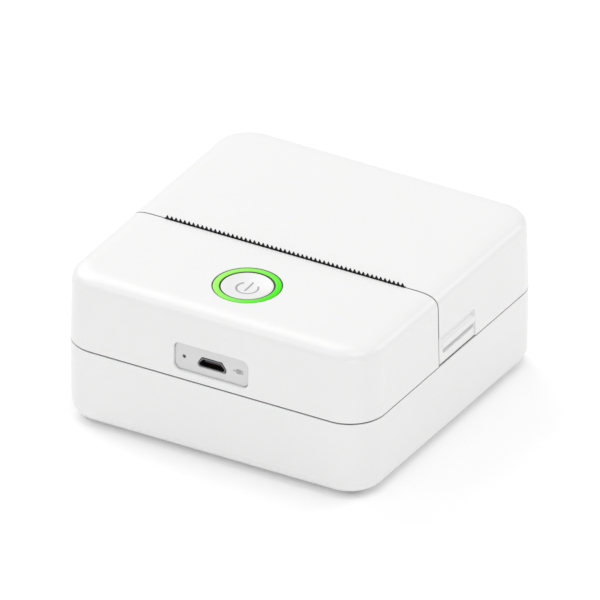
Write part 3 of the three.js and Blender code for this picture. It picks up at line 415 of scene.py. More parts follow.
    def rest(self, body: Body, finish: "Finish", *nodes: str) -> bpy.types.Object:
        """Dresses the finished piece and lets it ride on its body.

        Args:
            body: The body that it rides on.
            finish: Its finish.
            *nodes: The frame's nodes that it stands for.

        Returns:
            The finished object.
        """
        self.obj.data.materials.clear()
        self.obj.data.materials.append(finish.material())
        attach(self.obj, body.value)
        if nodes:
            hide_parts(*nodes)
        log.info("%s rides on %s, %d faces", self.obj.name, body.value, len(self.obj.data.polygons))
        return self.obj


# ---------------------------------------------------------------- finishes


def noise(tree: Tree, vector: Socket, scale: float, detail: float = 2.0) -> Socket:
    """Adds a noise texture.

    Args:
        tree: The node tree.
        vector: Where its coordinates come from.
        scale: Its scale, per metre.
        detail: How many finer layers it has.

    Returns:
        Its value, from 0 to 1.
    """
    node = tree.nodes.new("ShaderNodeTexNoise")
    node.inputs["Scale"].default_value = scale
    node.inputs["Detail"].default_value = detail
    tree.links.new(vector, node.inputs["Vector"])
    return node.outputs["Fac"]


def maths(tree: Tree, operation: str, first: object, second: object = 0.0,
          kind: str = "ShaderNodeMath") -> Socket:
    """Adds a node that combines two values.

    Args:
        tree: The node tree.
        operation: What it does.
        first: A socket or a constant.
        second: A socket or a constant.
        kind: The node's type.

    Returns:
        Its result.
    """
    node = tree.nodes.new(kind)
    node.operation = operation
    slots = (node.inputs[0], node.inputs["Scale"] if operation == "SCALE" else node.inputs[1])
    for socket, value in zip(slots, (first, second)):
        if isinstance(value, bpy.types.NodeSocket):
            tree.links.new(value, socket)
        else:
            socket.default_value = value
    return node.outputs[0]


def mould_grain(tree: Tree, vector: Socket, scale: Socket) -> Texture:
    """Spark-eroded mould grain under handling marks."""
    fine = noise(tree, maths(tree, "SCALE", vector, scale, "ShaderNodeVectorMath"), 1.0, 3.0)
    marks = maths(tree, "SUBTRACT", noise(tree, vector, 260.0, 5.0), 0.45)
    return fine, noise(tree, vector, 35.0), maths(tree, "MULTIPLY", marks, 3.0)


def ground_lines(tree: Tree, vector: Socket, _scale: Socket) -> Texture:
    """Fine lines along one direction, as ground or rolled metal has."""
    stretched = maths(tree, "MULTIPLY", vector, (60.0, 9000.0, 9000.0), "ShaderNodeVectorMath")
    lines = noise(tree, stretched, 1.0)
    return lines, noise(tree, vector, 300.0, 3.0), lines


def matted_fibres(tree: Tree, vector: Socket, scale: Socket) -> Texture:
    """Short matted fibres, as paper and card have."""
    fibres = noise(tree, maths(tree, "SCALE", vector, scale, "ShaderNodeVectorMath"), 1.0, 8.0)
    return fibres, noise(tree, vector, 500.0, 6.0), noise(tree, vector, 90.0)


def wound_edges(tree: Tree, vector: Socket, scale: Socket) -> Texture:
    """Rings round an axis along X, as the edges of a wound strip make."""
    split = tree.nodes.new("ShaderNodeSeparateXYZ")
    tree.links.new(vector, split.inputs[0])
    across, up = (maths(tree, "MULTIPLY", split.outputs[axis], split.outputs[axis]) for axis in "YZ")
    radius = maths(tree, "SQRT", maths(tree, "ADD", across, up))
    rings = maths(tree, "SINE", maths(tree, "MULTIPLY", radius, scale))
    band = noise(tree, vector, 400.0)
    return rings, maths(tree, "ADD", maths(tree, "MULTIPLY", rings, 0.35), band), band


class Surface(Enum):
    """What a finish's texture is made of, by the name of its node group."""

    GRAIN = "mould_grain"
    GROUND = "ground_lines"
    FIBRE = "matted_fibres"
    WOUND = "wound_edges"

    def group(self) -> Tree:
        """Makes the texture's node group once.

        Returns:
            The group, from a vector and a scale to a height, a broad tone and a mask of marks.
        """
        if self.value in bpy.data.node_groups:
            return bpy.data.node_groups[self.value]
        makers = {Surface.GRAIN: mould_grain, Surface.GROUND: ground_lines,
                  Surface.FIBRE: matted_fibres, Surface.WOUND: wound_edges}
        tree = bpy.data.node_groups.new(self.value, "ShaderNodeTree")
        tree.interface.new_socket("Vector", in_out="INPUT", socket_type="NodeSocketVector")
        tree.interface.new_socket("Scale", in_out="INPUT", socket_type="NodeSocketFloat")
        labels = ("Height", "Tone", "Marks")
        for label in labels:
            tree.interface.new_socket(label, in_out="OUTPUT", socket_type="NodeSocketFloat")
        source = tree.nodes.new("NodeGroupInput")
        sink = tree.nodes.new("NodeGroupOutput")
        values = makers[self](tree, source.outputs["Vector"], source.outputs["Scale"])
        for label, value in zip(labels, values):
            tree.links.new(value, sink.inputs[label])
        return tree


@dataclass(frozen=True)
class Finish:
    """One finish: its colour and gloss, and how its texture varies them."""

    slot: str
    name: str
    colour: Point
    roughness: float = 0.5
    metallic: float = 0.0
    surface: Surface = Surface.GRAIN
    scale: float = 5000.0
    bump: float = 0.15
    depth: float = 0.00002
    tone: float = 0.03
    marks: float = 0.06
    coat: float = 0.0
    soft_light: float = 0.0
    shine: float = 0.5
    centre: Point = (0.0, 0.0, 0.0)

    def material(self) -> bpy.types.Material:
        """Builds the material, or finds it when it is built already.

        Returns:
            The material.
        """
        known = bpy.data.materials.get(self.name)
        if known:
            return known
        material = bpy.data.materials.new(self.name)
        material.use_nodes = True
        tree = material.node_tree
        shader = tree.nodes["Principled BSDF"]
        constants = {"Metallic": self.metallic, "Specular IOR Level": self.shine, "Coat Weight": self.coat,
                     "Coat Roughness": COAT_ROUGHNESS, "Subsurface Weight": self.soft_light,
                     "Subsurface Radius": SOFT_REACH}
        for label, value in constants.items():
            shader.inputs[label].default_value = value
        where = tree.nodes.new("ShaderNodeTexCoord")
        shift = tree.nodes.new("ShaderNodeMapping")
        shift.inputs["Location"].default_value = [-value for value in self.centre]
        tree.links.new(where.outputs["Object"], shift.inputs["Vector"])
        texture = tree.nodes.new("ShaderNodeGroup")
        texture.node_tree = self.surface.group()
        texture.inputs["Scale"].default_value = self.scale
        tree.links.new(shift.outputs["Vector"], texture.inputs["Vector"])
        self.paint(tree, shader, texture)
        rough = tree.nodes.new("ShaderNodeMapRange")
        rough.inputs["To Min"].default_value = self.roughness - self.marks
        rough.inputs["To Max"].default_value = self.roughness + self.marks
        tree.links.new(texture.outputs["Marks"], rough.inputs["Value"])
        tree.links.new(rough.outputs["Result"], shader.inputs["Roughness"])
        bump = tree.nodes.new("ShaderNodeBump")
        bump.inputs["Strength"].default_value = self.bump
        bump.inputs["Distance"].default_value = self.depth
        tree.links.new(texture.outputs["Height"], bump.inputs["Height"])
        tree.links.new(bump.outputs["Normal"], shader.inputs["Normal"])
        return material

    def paint(self, tree: Tree, shader: bpy.types.Node, texture: bpy.types.Node) -> None:
        """Feeds the colour, from a darker to a lighter tone of it.

        Args:
            tree: The material's nodes.
            shader: Its Principled BSDF.
            texture: Its texture group.
        """
        ramp = tree.nodes.new("ShaderNodeValToRGB")
        ramp.color_ramp.elements[0].position = 0.3
        ramp.color_ramp.elements[1].position = 0.7
        ramp.color_ramp.elements[0].color = [c * (1 - self.tone) for c in self.colour] + [1.0]
        ramp.color_ramp.elements[1].color = [min(1.0, c * (1 + self.tone)) for c in self.colour] + [1.0]
        tree.links.new(texture.outputs["Tone"], ramp.inputs["Fac"])
        tree.links.new(ramp.outputs["Color"], shader.inputs["Base Color"])


@dataclass(frozen=True)
class PaintedShadeFinish(Finish):
    """A finish with painted light and shade: its colour goes from a painted lit tone on the piece's left to
    a painted shaded tone on its right.
    """

    # deep is the painted shaded tone on the right; reach is half the span of the painted gradient along X.
    deep: Point = (0.1, 0.8, 0.03)
    reach: float = 7.0 * MM

    def paint(self, tree: Tree, shader: bpy.types.Node, texture: bpy.types.Node) -> None:
        """Feeds the colour, from the painted lit tone to the painted shaded tone along X.

        Args:
            tree: The material's nodes.
            shader: Its Principled BSDF.
            texture: Its texture group.
        """
        where = tree.nodes.new("ShaderNodeTexCoord")
        split = tree.nodes.new("ShaderNodeSeparateXYZ")
        tree.links.new(where.outputs["Object"], split.inputs[0])
        across = tree.nodes.new("ShaderNodeMapRange")
        across.inputs["From Min"].default_value = -self.reach
        across.inputs["From Max"].default_value = self.reach
        tree.links.new(split.outputs["X"], across.inputs["Value"])
        ramp = tree.nodes.new("ShaderNodeValToRGB")
        ramp.color_ramp.elements[0].color = [*self.colour, 1.0]
        ramp.color_ramp.elements[1].color = [*self.deep, 1.0]
        tree.links.new(across.outputs["Result"], ramp.inputs["Fac"])
        tree.links.new(ramp.outputs["Color"], shader.inputs["Base Color"])


SHELL = Finish("shell_white", "case_shell", (0.83, 0.83, 0.828), 0.3, bump=0.03, tone=0.004, marks=0.008)
BUTTON = Finish("button_white", "button_cap", (0.8, 0.8, 0.8), 0.32, bump=0.05, tone=0.006, marks=0.03)
# The light ring's green is painted light and shade: a painted lit pale green on its left, a painted shaded
# deep green on its right.
RING = PaintedShadeFinish("ring_green", "light_guide", (0.36, 0.9, 0.14), 0.35, bump=0.04, marks=0.05,
                       shine=0.2, deep=(0.07, 0.82, 0.005))
# Near-black finish for the strips and sleeves set behind the seams and round the ring: painted shade in
# those gaps.
GAP_SHADE = Finish("rubber_black", "painted_gap_shade", (0.03, 0.03, 0.03), 0.7, bump=0.1, tone=0.2)
BEZEL = Finish("bezel_grey", "socket_panel", (0.69, 0.69, 0.69), 0.5, bump=0.1, tone=0.015)
TEAR = Finish("tear_black", "black_cutter", (0.004, 0.004, 0.005), 0.45, surface=Surface.GROUND,
              bump=0.1,
              tone=0.2, metallic=0.5)
MARKING = Finish("bezel_grey", "grey_inlay", (0.36, 0.36, 0.36), 0.5, bump=0.05, tone=0.05)
FRAME = Finish("frame_charcoal", "charcoal_frame", (0.018, 0.019, 0.021), 0.5, scale=4000.0,
               bump=0.25, tone=0.1)
BAY = Finish("bay_grey", "grey_bay", (0.42, 0.43, 0.45), 0.48, scale=4000.0, bump=0.22, tone=0.03)
RUBBER = Finish("rubber_black", "black_rubber", (0.012, 0.012, 0.013), 0.75, scale=7000.0,
                bump=0.35, tone=0.25)
STEEL = Finish("steel", "ground_steel", (0.4, 0.41, 0.43), 0.28, 1.0, Surface.GROUND, bump=0.12,
               tone=0.08)
NICKEL = Finish("steel", "dull_nickel", (0.2, 0.2, 0.21), 0.35, 1.0, Surface.GROUND, bump=0.08, tone=0.1)
ALUMINIUM = Finish("aluminium", "rolled_aluminium", (0.62, 0.63, 0.65), 0.36, 1.0, Surface.GROUND,
                   bump=0.15,
                   tone=0.06)
CERAMIC = Finish("head_ceramic", "glazed_ceramic", (0.09, 0.06, 0.045), 0.12, bump=0.03, tone=0.12,
                 coat=0.6)
GEAR = Finish("gear_white", "acetal", (0.72, 0.7, 0.63), 0.38, bump=0.06, tone=0.02, soft_light=0.2)
BRASS = Finish("steel", "gilded_contact", (0.75, 0.55, 0.22), 0.25, 1.0, Surface.GROUND, bump=0.05,
               tone=0.05)
BOARD = Finish("board_green", "solder_mask", (0.008, 0.085, 0.03), 0.3, scale=2500.0, bump=0.1,
               tone=0.3, coat=0.4)
CHIP = Finish("chip_black", "moulded_epoxy", (0.014, 0.014, 0.016), 0.5, scale=6000.0, bump=0.3,
              tone=0.2)
LED = Finish("led_yellow", "led_resin", (0.75, 0.66, 0.25), 0.25, bump=0.05, tone=0.1, coat=0.5)
LENS = Finish("lens_smoke", "smoked_lens", (0.02, 0.022, 0.025), 0.1, bump=0.02, tone=0.1, coat=0.8)
BATTERY = Finish("battery_wrap", "shrink_film", (0.012, 0.05, 0.17), 0.3, scale=1800.0, bump=0.2,
                 tone=0.12,
                 coat=0.3)
FLEX = Finish("flex_amber", "amber_film", (0.42, 0.13, 0.012), 0.3, surface=Surface.GROUND,
              bump=0.15, tone=0.2,
              coat=0.4)
LEAD = Finish("lead_red", "red_sleeve", (0.33, 0.012, 0.01), 0.45, bump=0.1, tone=0.1)
PAPER = Finish("paper_white", "coated_paper", (0.84, 0.84, 0.81), 0.6, surface=Surface.WOUND,
               scale=16000.0,
               bump=0.25, tone=0.05, centre=(0.0, 20.5 * MM, 19.6 * MM))
CARD = Finish("core_card", "raw_card", (0.3, 0.17, 0.075), 0.9, surface=Surface.FIBRE, bump=0.5,
              tone=0.2)
FINISHES = {finish.slot: finish for finish in (
    SHELL, BUTTON, RING, BEZEL, TEAR, FRAME, BAY, RUBBER, STEEL, ALUMINIUM, CERAMIC, GEAR, BOARD, CHIP, LED,
    LENS, BATTERY, FLEX, LEAD, PAPER, CARD)}


# ---------------------------------------------------------------- the case


@dataclass
class CaseForm:
    """The case's outer form: a rounded square, drawn in by its draft and by its edge roundings."""

    half: float = 40.0 * MM
    corner: float = 8.9 * MM
    bottom: float = 0.8 * MM
    top: float = 37.9 * MM
    seam: float = 19.8 * MM
    seam_gap: float = 0.36 * MM
    wall: float = 2.0 * MM
    shoulder_in: float = 6.5 * MM
    shoulder_down: float = 3.7 * MM
    shoulder_power: float = 3.2
    bottom_round: float = 3.6 * MM
    upper_draft: float = math.radians(1.1)
    lower_draft: float = math.radians(0.9)
    corner_steps: int = 20
    shoulder_steps: int = 18
    round_steps: int = 10
    wall_rings: Flat = (0.35, 0.7)

    def inset_at(self, z: float) -> float:
        """How far the draft draws the wall in at a height, from the seam's outline."""
        draft = self.upper_draft if z > self.seam else self.lower_draft
        return abs(z - self.seam) * math.tan(draft)

    def levels(self, upper: bool) -> list[Flat]:
        """Levels (height, inset) of one half, from the seam to the flat of its top or underside.

        Args:
            upper: Whether it is the upper half.

        Returns:
            The levels.
        """
        start = self.seam + (self.seam_gap if upper else -self.seam_gap) / 2
        levels = [(start, self.inset_at(start))]
        if not upper:
            foot = self.bottom + self.bottom_round
            for angle in turns(0.0, math.pi / 2, self.round_steps):
                z = foot - self.bottom_round * math.sin(angle)
                levels.append((z, self.inset_at(z) + self.bottom_round * (1 - math.cos(angle))))
            return levels
        foot = self.top - self.shoulder_down
        for share in self.wall_rings:
            z = self.seam + (foot - self.seam) * share
            levels.append((z, self.inset_at(z)))
        for angle in turns(0.0, math.pi / 2, self.shoulder_steps):
            rise = math.sin(angle) ** (2 / self.shoulder_power)
            reach = max(0.0, math.cos(angle)) ** (2 / self.shoulder_power)
            z = foot + self.shoulder_down * rise
            levels.append((z, self.inset_at(z) + self.shoulder_in * (1 - reach)))
        return levels

    def outline(self, inset: float) -> list[Flat]:
        """The case's outline, drawn in by an inset."""
        half = self.half - inset
        return rounded_rectangle(half, half, self.corner - inset, self.corner_steps)

    def skin(self, name: str, upper: bool) -> Workpiece:
        """Builds the outer skin of the upper or the lower half, open at the seam.

        Args:
            name: The piece's name.
            upper: Whether it is the upper half.

        Returns:
            The skin, in object mode.
        """
        levels = self.levels(upper)
        start, inset = levels[0]
        piece = Workpiece.outline(name, self.outline(inset), Axis.Z, start)
        if not upper:
            bpy.ops.mesh.flip_normals()
        piece.steps((abs(high - low), inner - outer)
                    for (low, outer), (high, inner) in zip(levels, levels[1:]))
        return piece.done()


@dataclass
class Case:
    """The three shells of the case, with their openings, grips, hinge and seam lip."""

    form: CaseForm = field(default_factory=CaseForm)
    lid_seam: float = -6.5 * MM
    edge: float = 0.13 * MM
    ring_hole: float = 8.05 * MM
    button_y: float = -23.4 * MM
    panel_half_x: float = 9.6 * MM
    panel_half_z: float = 3.45 * MM
    panel_z: float = 25.35 * MM
    panel_radius: float = 1.5 * MM
    slot_half: float = 31.2 * MM
    cover_notch: float = 0.12 * MM
    lid_notch: float = 0.2 * MM
    hinge_y: float = 38.4 * MM
    hinge_z: float = 21.55 * MM
    hinge_radius: float = 1.6 * MM
    hinge_span: float = 34.0 * MM
    hinge_room: float = 3.5 * MM
    ear_x: float = 24.0 * MM
    ear_width: float = 7.0 * MM
    fit: float = 0.3 * MM
    grip_rear: float = 9.7 * MM
    grip_top: float = 7.1 * MM
    grip_depth: float = 0.32 * MM
    ridge_height: float = 4.5 * MM
    ridge_half: float = 1.1 * MM
    groove_depth: float = 1.15 * MM
    scoop_depth: float = 0.85 * MM
    label_half: Flat = (24 * MM, 14 * MM)
    label_corner: float = 2 * MM
    lip_below: float = 2.5 * MM
    lip_above: float = 1.1 * MM
    lip_wall: float = 0.8 * MM
    recess_fit: float = 0.12 * MM
    foot_recess: float = 0.5 * MM
    screw_recess: float = 1.2 * MM
    label_recess: float = 1.25 * MM
    # Wall and insets of the dark strips behind the seams, which paint the seams' shade.
    shade_wall: float = 0.6 * MM
    shade_depth: float = 0.12 * MM
    belt_shade_depth: float = 0.32 * MM

    def build(self) -> None:
        """Builds and dresses every piece of the case."""
        self.bottom_shell()
        self.front_cover()
        self.paper_lid()
        self.seam_lip()
        self.seam_shades()

    def bottom_shell(self) -> None:
        """Builds the lower half, with its feet and screw recesses and its hinge ears."""
        form = self.form
        piece = form.skin("bottom_shell_finished", upper=False).wall(form.wall)
        depths = {"foot_": self.foot_recess, "case_screw_": self.screw_recess}
        for node in frame["nodes"]:
            for start, depth in depths.items():
                if node.startswith(start):
                    low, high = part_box(node)
                    radius = (high[0] - low[0]) / 2 + self.recess_fit
                    piece.cut(Workpiece.bar("recess", radius, Axis.Z, -MM, form.bottom + depth,
                                            middle_of(low, high), 48))
        outline = rounded_rectangle(*self.label_half, self.label_corner, 6)
        label = Workpiece.outline("label_recess", outline, Axis.Z, -MM)
        piece.cut(label.extrude(Axis.Z, form.bottom + self.label_recess))
        for side in (-1, 1):
            piece.join(self.ear(side))
        piece.soften(self.edge).smooth().rest(Body.BASE, SHELL, "bottom_shell")

    def ear(self, side: int) -> Workpiece:
        """Builds one hinge ear, a barrel on a neck.

        Args:
            side: -1 for the left one, 1 for the right one.

        Returns:
            The ear.
        """
        low = side * self.ear_x - self.ear_width / 2
        high = low + self.ear_width
        reach = self.hinge_radius - 0.03 * MM
        neck = Workpiece.block("neck", (low, self.hinge_y - reach, self.form.seam - 2 * MM),
                               (high, self.hinge_y + reach, self.hinge_z))
        centre = (self.hinge_y, self.hinge_z)
        return Workpiece.bar("ear", reach, Axis.X, low, high, centre, 48).join(neck)

    def front_cover(self) -> None:
        """Builds the upper front, with the button, socket panel and cutter openings."""
        form = self.form
        end = self.lid_seam - form.seam_gap / 2
        lip = 0.3 * MM
        piece = form.skin("front_cover_finished", upper=True)
        piece.slice((0.0, end, 0.0), (0.0, 1.0, 0.0)).wall(form.wall)
        panel = upright(rounded_rectangle(self.panel_half_x, self.panel_half_z, self.panel_radius, 8))
        opening = Workpiece.outline("panel_opening", panel, Axis.Y, -form.half - 2 * MM, (self.panel_z, 0.0))
        opening.extrude(Axis.Y, 5 * MM)
        hole = Workpiece.bar("ring_opening", self.ring_hole, Axis.Z, form.top - 4 * MM, form.top + MM,
                             (0.0, self.button_y), 96)
        notch = Workpiece.block("cutter_notch", (-self.slot_half, end - self.cover_notch, form.top - 3 * MM),
                                (self.slot_half, 0.0, form.top + MM))
        piece.cut(opening, hole, notch)
        piece.bevel_where(lambda at: at.y < lip - form.half and abs(at.x) < self.panel_half_x + lip
                          and abs(at.z - self.panel_z) < self.panel_half_z + lip, lip, 4)
        piece.soften(self.edge).smooth().rest(Body.BASE, SHELL, "front_cover")

    def paper_lid(self) -> None:
        """Builds the lid, with its paper slot, finger grips and rolled hinge edge."""
        form = self.form
        start = self.lid_seam + form.seam_gap / 2
        piece = form.skin("paper_lid_finished", upper=True)
        piece.slice((0.0, start, 0.0), (0.0, -1.0, 0.0)).wall(form.wall)
        edge = start + self.lid_notch
        shallow, deep, over = form.top - 0.6 * MM, form.top - 3 * MM, form.top + MM
        front = start - MM
        profile = [(front, over), (front, deep), (edge + 0.8 * MM, deep), (edge, shallow), (edge, over)]
        slot = Workpiece.outline("paper_slot", profile, Axis.X, -self.slot_half)
        slot.extrude(Axis.X, 2 * self.slot_half)
        corner = Workpiece.block("hinge_corner", (-self.hinge_span, self.hinge_y, form.seam - MM),
                                 (self.hinge_span, form.half + MM, self.hinge_z))
        piece.cut(slot, corner)
        for side in (-1, 1):
            self.shape_grip(piece, side, start)
            low = side * self.ear_x - self.ear_width / 2 - self.fit
            piece.cut(Workpiece.block(
                "hinge_window", (low, self.hinge_y - 3 * MM, form.seam - MM),
                (low + self.ear_width + 2 * self.fit, form.half + MM, self.hinge_z + 2.0 * MM)))
        piece.soften(self.edge).smooth().rest(Body.LID, SHELL, "paper_lid")
        self.barrels()

    def barrels(self) -> None:
        """Builds the lid's rolled hinge edge, a barrel on each side of every ear."""
        gap = self.ear_width / 2 + self.fit
        reach = self.hinge_span + 0.05 * MM
        inner, outer = self.ear_x - gap, self.ear_x + gap
        spans = ((-reach, -outer), (-inner, inner), (outer, reach))
        for number, (low, high) in enumerate(spans, start=1):
            barrel = Workpiece.bar(f"lid_hinge_barrel_{number}", self.hinge_radius - 0.02 * MM, Axis.X,
                                   low, high, (self.hinge_y, self.hinge_z), 48)
            barrel.soften(0.2 * MM).smooth().rest(Body.LID, SHELL)

    def shape_grip(self, lid: Workpiece, side: int, start: float) -> None:
        """Shapes one finger grip: a recess with a ridge, a groove under it and a scoop over it.

        Args:
            lid: The lid's shell.
            side: -1 for the left one, 1 for the right one.
            start: Where the grip starts, at the lid's front edge.
        """
        form = self.form
        seam, face, rear = form.seam, form.half, self.grip_rear
        bend = 1.3 * MM
        corner = [(rear - bend * (1 - math.cos(a)), seam + self.grip_top - bend * (1 - math.sin(a)))
                  for a in turns(0.0, math.pi / 2, 8)]
        recess = [(start - MM, seam - MM), (rear, seam - MM), *corner, (start - MM, seam + self.grip_top)]
        lid.cut(self.side_solid(recess, side, face - self.grip_depth, face + MM))
        ridge = capsule(start + 1.3 * MM, rear + 0.6 * MM, seam + self.ridge_height, self.ridge_half)
        bar = self.side_solid(ridge, side, face - 1.6 * MM, face - 0.12 * MM).soften(0.5 * MM, 60.0, 5)
        lid.join(bar)
        groove = capsule(start + 1.9 * MM, rear - 0.1 * MM, seam + 2.9 * MM, 0.55 * MM)
        lid.cut(self.side_solid(groove, side, face - self.groove_depth, face + MM))
        radius = 1.1 * MM
        out = radius - self.scoop_depth
        scoop = Workpiece.bar("scoop", radius, Axis.Y, start + 0.9 * MM, rear - 0.25 * MM,
                              (seam + 6.2 * MM, side * (face + out)), 40)
        lid.cut(scoop.soften(0.3 * MM, 60.0))

    def side_solid(self, points: Sequence[Flat], side: int, inner: float, outer: float) -> Workpiece:
        """Extrudes a (y, z) outline through one side wall."""
        solid = Workpiece.outline("side_solid", points, Axis.X, side * inner)
        return solid.extrude(Axis.X, side * (outer - inner))

    def band(self, name: str, inset: float, low: float, high: float, thickness: float) -> Workpiece:
        """Builds a band round the inside of the case, open where the hinge is.

        Args:
            name: The piece's name.
            inset: How far behind the outer face it lies.
            low: Where it starts, over the floor.
            high: Where it ends.
            thickness: Its wall.

        Returns:
            The band.
        """
        band = Workpiece.outline(name, self.form.outline(inset), Axis.Z, low)
        bpy.ops.mesh.delete(type="ONLY_FACE")
        bpy.ops.mesh.select_mode(type="EDGE")
        bpy.ops.mesh.select_all(action="SELECT")
        bpy.ops.mesh.extrude_edges_move(TRANSFORM_OT_translate={"value": (0.0, 0.0, high - low)})
        band.done().edit().face_out()
        return band.slice((0.0, self.hinge_y - self.hinge_room, 0.0), (0.0, 1.0, 0.0)).wall(thickness)

    def seam_lip(self) -> None:
        """Builds the inner lip over the seam."""
        low, high = self.form.seam - self.lip_below, self.form.seam + self.lip_above
        lip = self.band("seam_lip", self.form.wall + 0.1 * MM, low, high, self.lip_wall)
        lip.soften(0.15 * MM).smooth().rest(Body.BASE, SHELL)

    def seam_shades(self) -> None:
        """Builds the dark strips that close both seams from behind, painted shade that darkens the seam
        gaps.
        """
        form = self.form
        half_gap = form.seam_gap / 2 - 0.02 * MM
        low, high = form.seam - half_gap, form.seam + half_gap - 0.04 * MM
        # The dark belt behind the lower seam is painted shade in that gap.
        belt = self.band("seam_seal", self.belt_shade_depth, low, high, self.shade_wall)
        belt.smooth().rest(Body.BASE, GAP_SHADE)
        depth = self.shade_depth
        inner = CaseForm(half=form.half - depth, corner=form.corner - depth, top=form.top - depth)
        # The dark skin behind the lid's seam is painted shade in that gap.
        lid_shade = inner.skin("lid_seam_seal", upper=True)
        for side in (-1.0, 1.0):
            lid_shade.slice((0.0, self.lid_seam + side * half_gap, 0.0), (0.0, side, 0.0))
        lid_shade.wall(self.shade_wall)
        lid_shade.cut(Workpiece.block("slot_room", (-self.slot_half, -8 * MM, form.top - 4 * MM),
                                 (self.slot_half, -5 * MM, form.top + MM)))
        lid_shade.smooth().rest(Body.BASE, GAP_SHADE)


@dataclass
class Controls:
    """What the user touches and sees on the front: the button, its lit ring and the socket panel."""

    form: CaseForm = field(default_factory=CaseForm)
    centre: Flat = (0.0, -23.4 * MM)
    button_radius: float = 6.05 * MM
    button_dish: float = 0.75 * MM
    ring_inner: float = 6.36 * MM
    ring_outer: float = 7.8 * MM
    symbol_radius: float = 2.5 * MM
    symbol_width: float = 0.44 * MM
    symbol_gap: float = math.radians(46)
    panel_z: float = 25.35 * MM
    panel_face: float = -39.4 * MM
    panel_sink: float = 0.3 * MM
    contact_pitch: float = 0.65 * MM
    contact_half: float = 0.16 * MM
    contact_box: tuple[Flat, Flat] = ((-38.6 * MM, 25.1 * MM), (-35.2 * MM, 25.21 * MM))
    plug_lines: tuple[tuple[float, ...], ...] = (
        (5.5, 6.45, 0.0, 0.1), (7.35, 8.1, -0.28, 0.09), (7.35, 8.1, 0.28, 0.09))
    # Height of the dark sleeves that paint shade in the ring's gaps.
    shade_sleeve_height: float = 1.4 * MM
    rim_round: float = 0.3 * MM
    rim_drop: float = 0.12 * MM
    ring_round: float = 0.2 * MM
    layer_radius: float = 4.2 * MM

    def build(self) -> None:
        """Builds and dresses every piece of the controls."""
        self.button()
        self.symbol()
        self.ring()
        self.panel()

    def button(self) -> None:
        """Builds the dished button with its rim, from the flange up."""
        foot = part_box("power_button")[0][2]
        piece = Workpiece.disc("power_button_finished", self.button_radius, (*self.centre, foot))
        wall = self.form.top - self.rim_drop - foot - self.rim_round
        piece.steps([(wall, 0.0), *rounding(self.rim_round, 6)])
        dish_radius = self.button_radius - self.rim_round
        rings = [dish_radius * (1 - k / 14) for k in range(14)]
        piece.steps(self.dish_steps(rings)).done()
        piece.smooth(SHARP).rest(Body.BUTTON, BUTTON, "power_button")

    def dish_height(self, radius: float) -> float:
        """Height of the dished face at a distance from its middle."""
        share = radius / (self.button_radius - self.rim_round)
        return self.form.top - self.rim_drop - self.button_dish * (1 - share * share)

    def dish_steps(self, rings: Sequence[float]) -> list[Flat]:
        """Steps (rise, inset) down the dished face, from one ring to the next."""
        return [(self.dish_height(inner) - self.dish_height(outer), outer - inner)
                for outer, inner in zip(rings, rings[1:])]

    def dish_layer(self, name: str) -> Workpiece:
        """Builds a layer that follows the dished face and stands a hair over it.

        Args:
            name: The piece's name.

        Returns:
            The layer.
        """
        radius = self.layer_radius
        layer = Workpiece.disc(name, radius, (*self.centre, self.dish_height(radius) + 0.012 * MM))
        layer.steps(self.dish_steps([radius * (1 - k / 12) for k in range(12)]))
        return layer.done().wall(0.3 * MM)

    def strokes(self) -> tuple[Workpiece, Workpiece]:
        """Draws the power symbol's two strokes as upright solids.

        Returns:
            The open arc and the bar.
        """
        half = self.symbol_width / 2
        angles = turns(math.pi / 2 + self.symbol_gap, 2 * (math.pi - self.symbol_gap), 48)
        points = arc(self.symbol_radius + half, angles) + arc(self.symbol_radius - half, reversed(angles))
        bar = [(-x, y) for y, x in capsule(-1.3 * MM, 2.8 * MM, 0.0, half)]
        low, depth = self.form.top - 3 * MM, 4 * MM
        return tuple(Workpiece.outline("stroke", outline, Axis.Z, low, self.centre).extrude(Axis.Z, depth)
                     for outline in (points, bar))

    def symbol(self) -> None:
        """Lays the power symbol's grey strokes into the dished face."""
        for name, stroke in zip(("power_symbol_arc", "power_symbol_bar"), self.strokes()):
            layer = self.dish_layer(name)
            layer.combine("INTERSECT", [stroke])
            layer.smooth().rest(Body.BUTTON, MARKING)

    def ring(self) -> None:
        """Builds the light ring round the button, softly crowned."""
        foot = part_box("light_ring")[0][2]
        wall = self.form.top - 0.02 * MM - foot - self.ring_round
        width = self.ring_outer - self.ring_inner
        outer = rounding(self.ring_round, 5)
        crown = width / 4 - self.ring_round / 2
        piece = Workpiece.disc("light_ring_finished", self.ring_outer, (*self.centre, foot))
        piece.steps([(wall, 0.0), *outer, (0.05 * MM, crown), (0.0, 2 * crown), (-0.05 * MM, crown),
                     *((-inset, rise) for rise, inset in outer), (-wall, 0.0)])
        bpy.ops.mesh.delete(type="FACE")
        piece.done().edit("EDGE", "DESELECT")
        bpy.ops.mesh.select_non_manifold()
        bpy.ops.mesh.bridge_edge_loops()
        piece.face_out().smooth(SHARP).rest(Body.BASE, RING, "light_ring")

    def panel(self) -> None:
        """Builds the socket panel with its socket and light openings, and a plug mark."""
        panel = Workpiece.copy_of("port_bezel").edit("VERT", "DESELECT").done()
        for vertex in panel.obj.data.vertices:
            vertex.select = vertex.co.y < self.panel_face
        bpy.ops.object.mode_set(mode="EDIT")
        bpy.ops.transform.translate(value=(0.0, self.panel_sink, 0.0))
        panel.done().soften(0.1 * MM).smooth().rest(Body.BASE, BEZEL, "port_bezel")
        self.plug_mark()
        self.socket()
        self.contacts()
        self.gap_shade_sleeves()

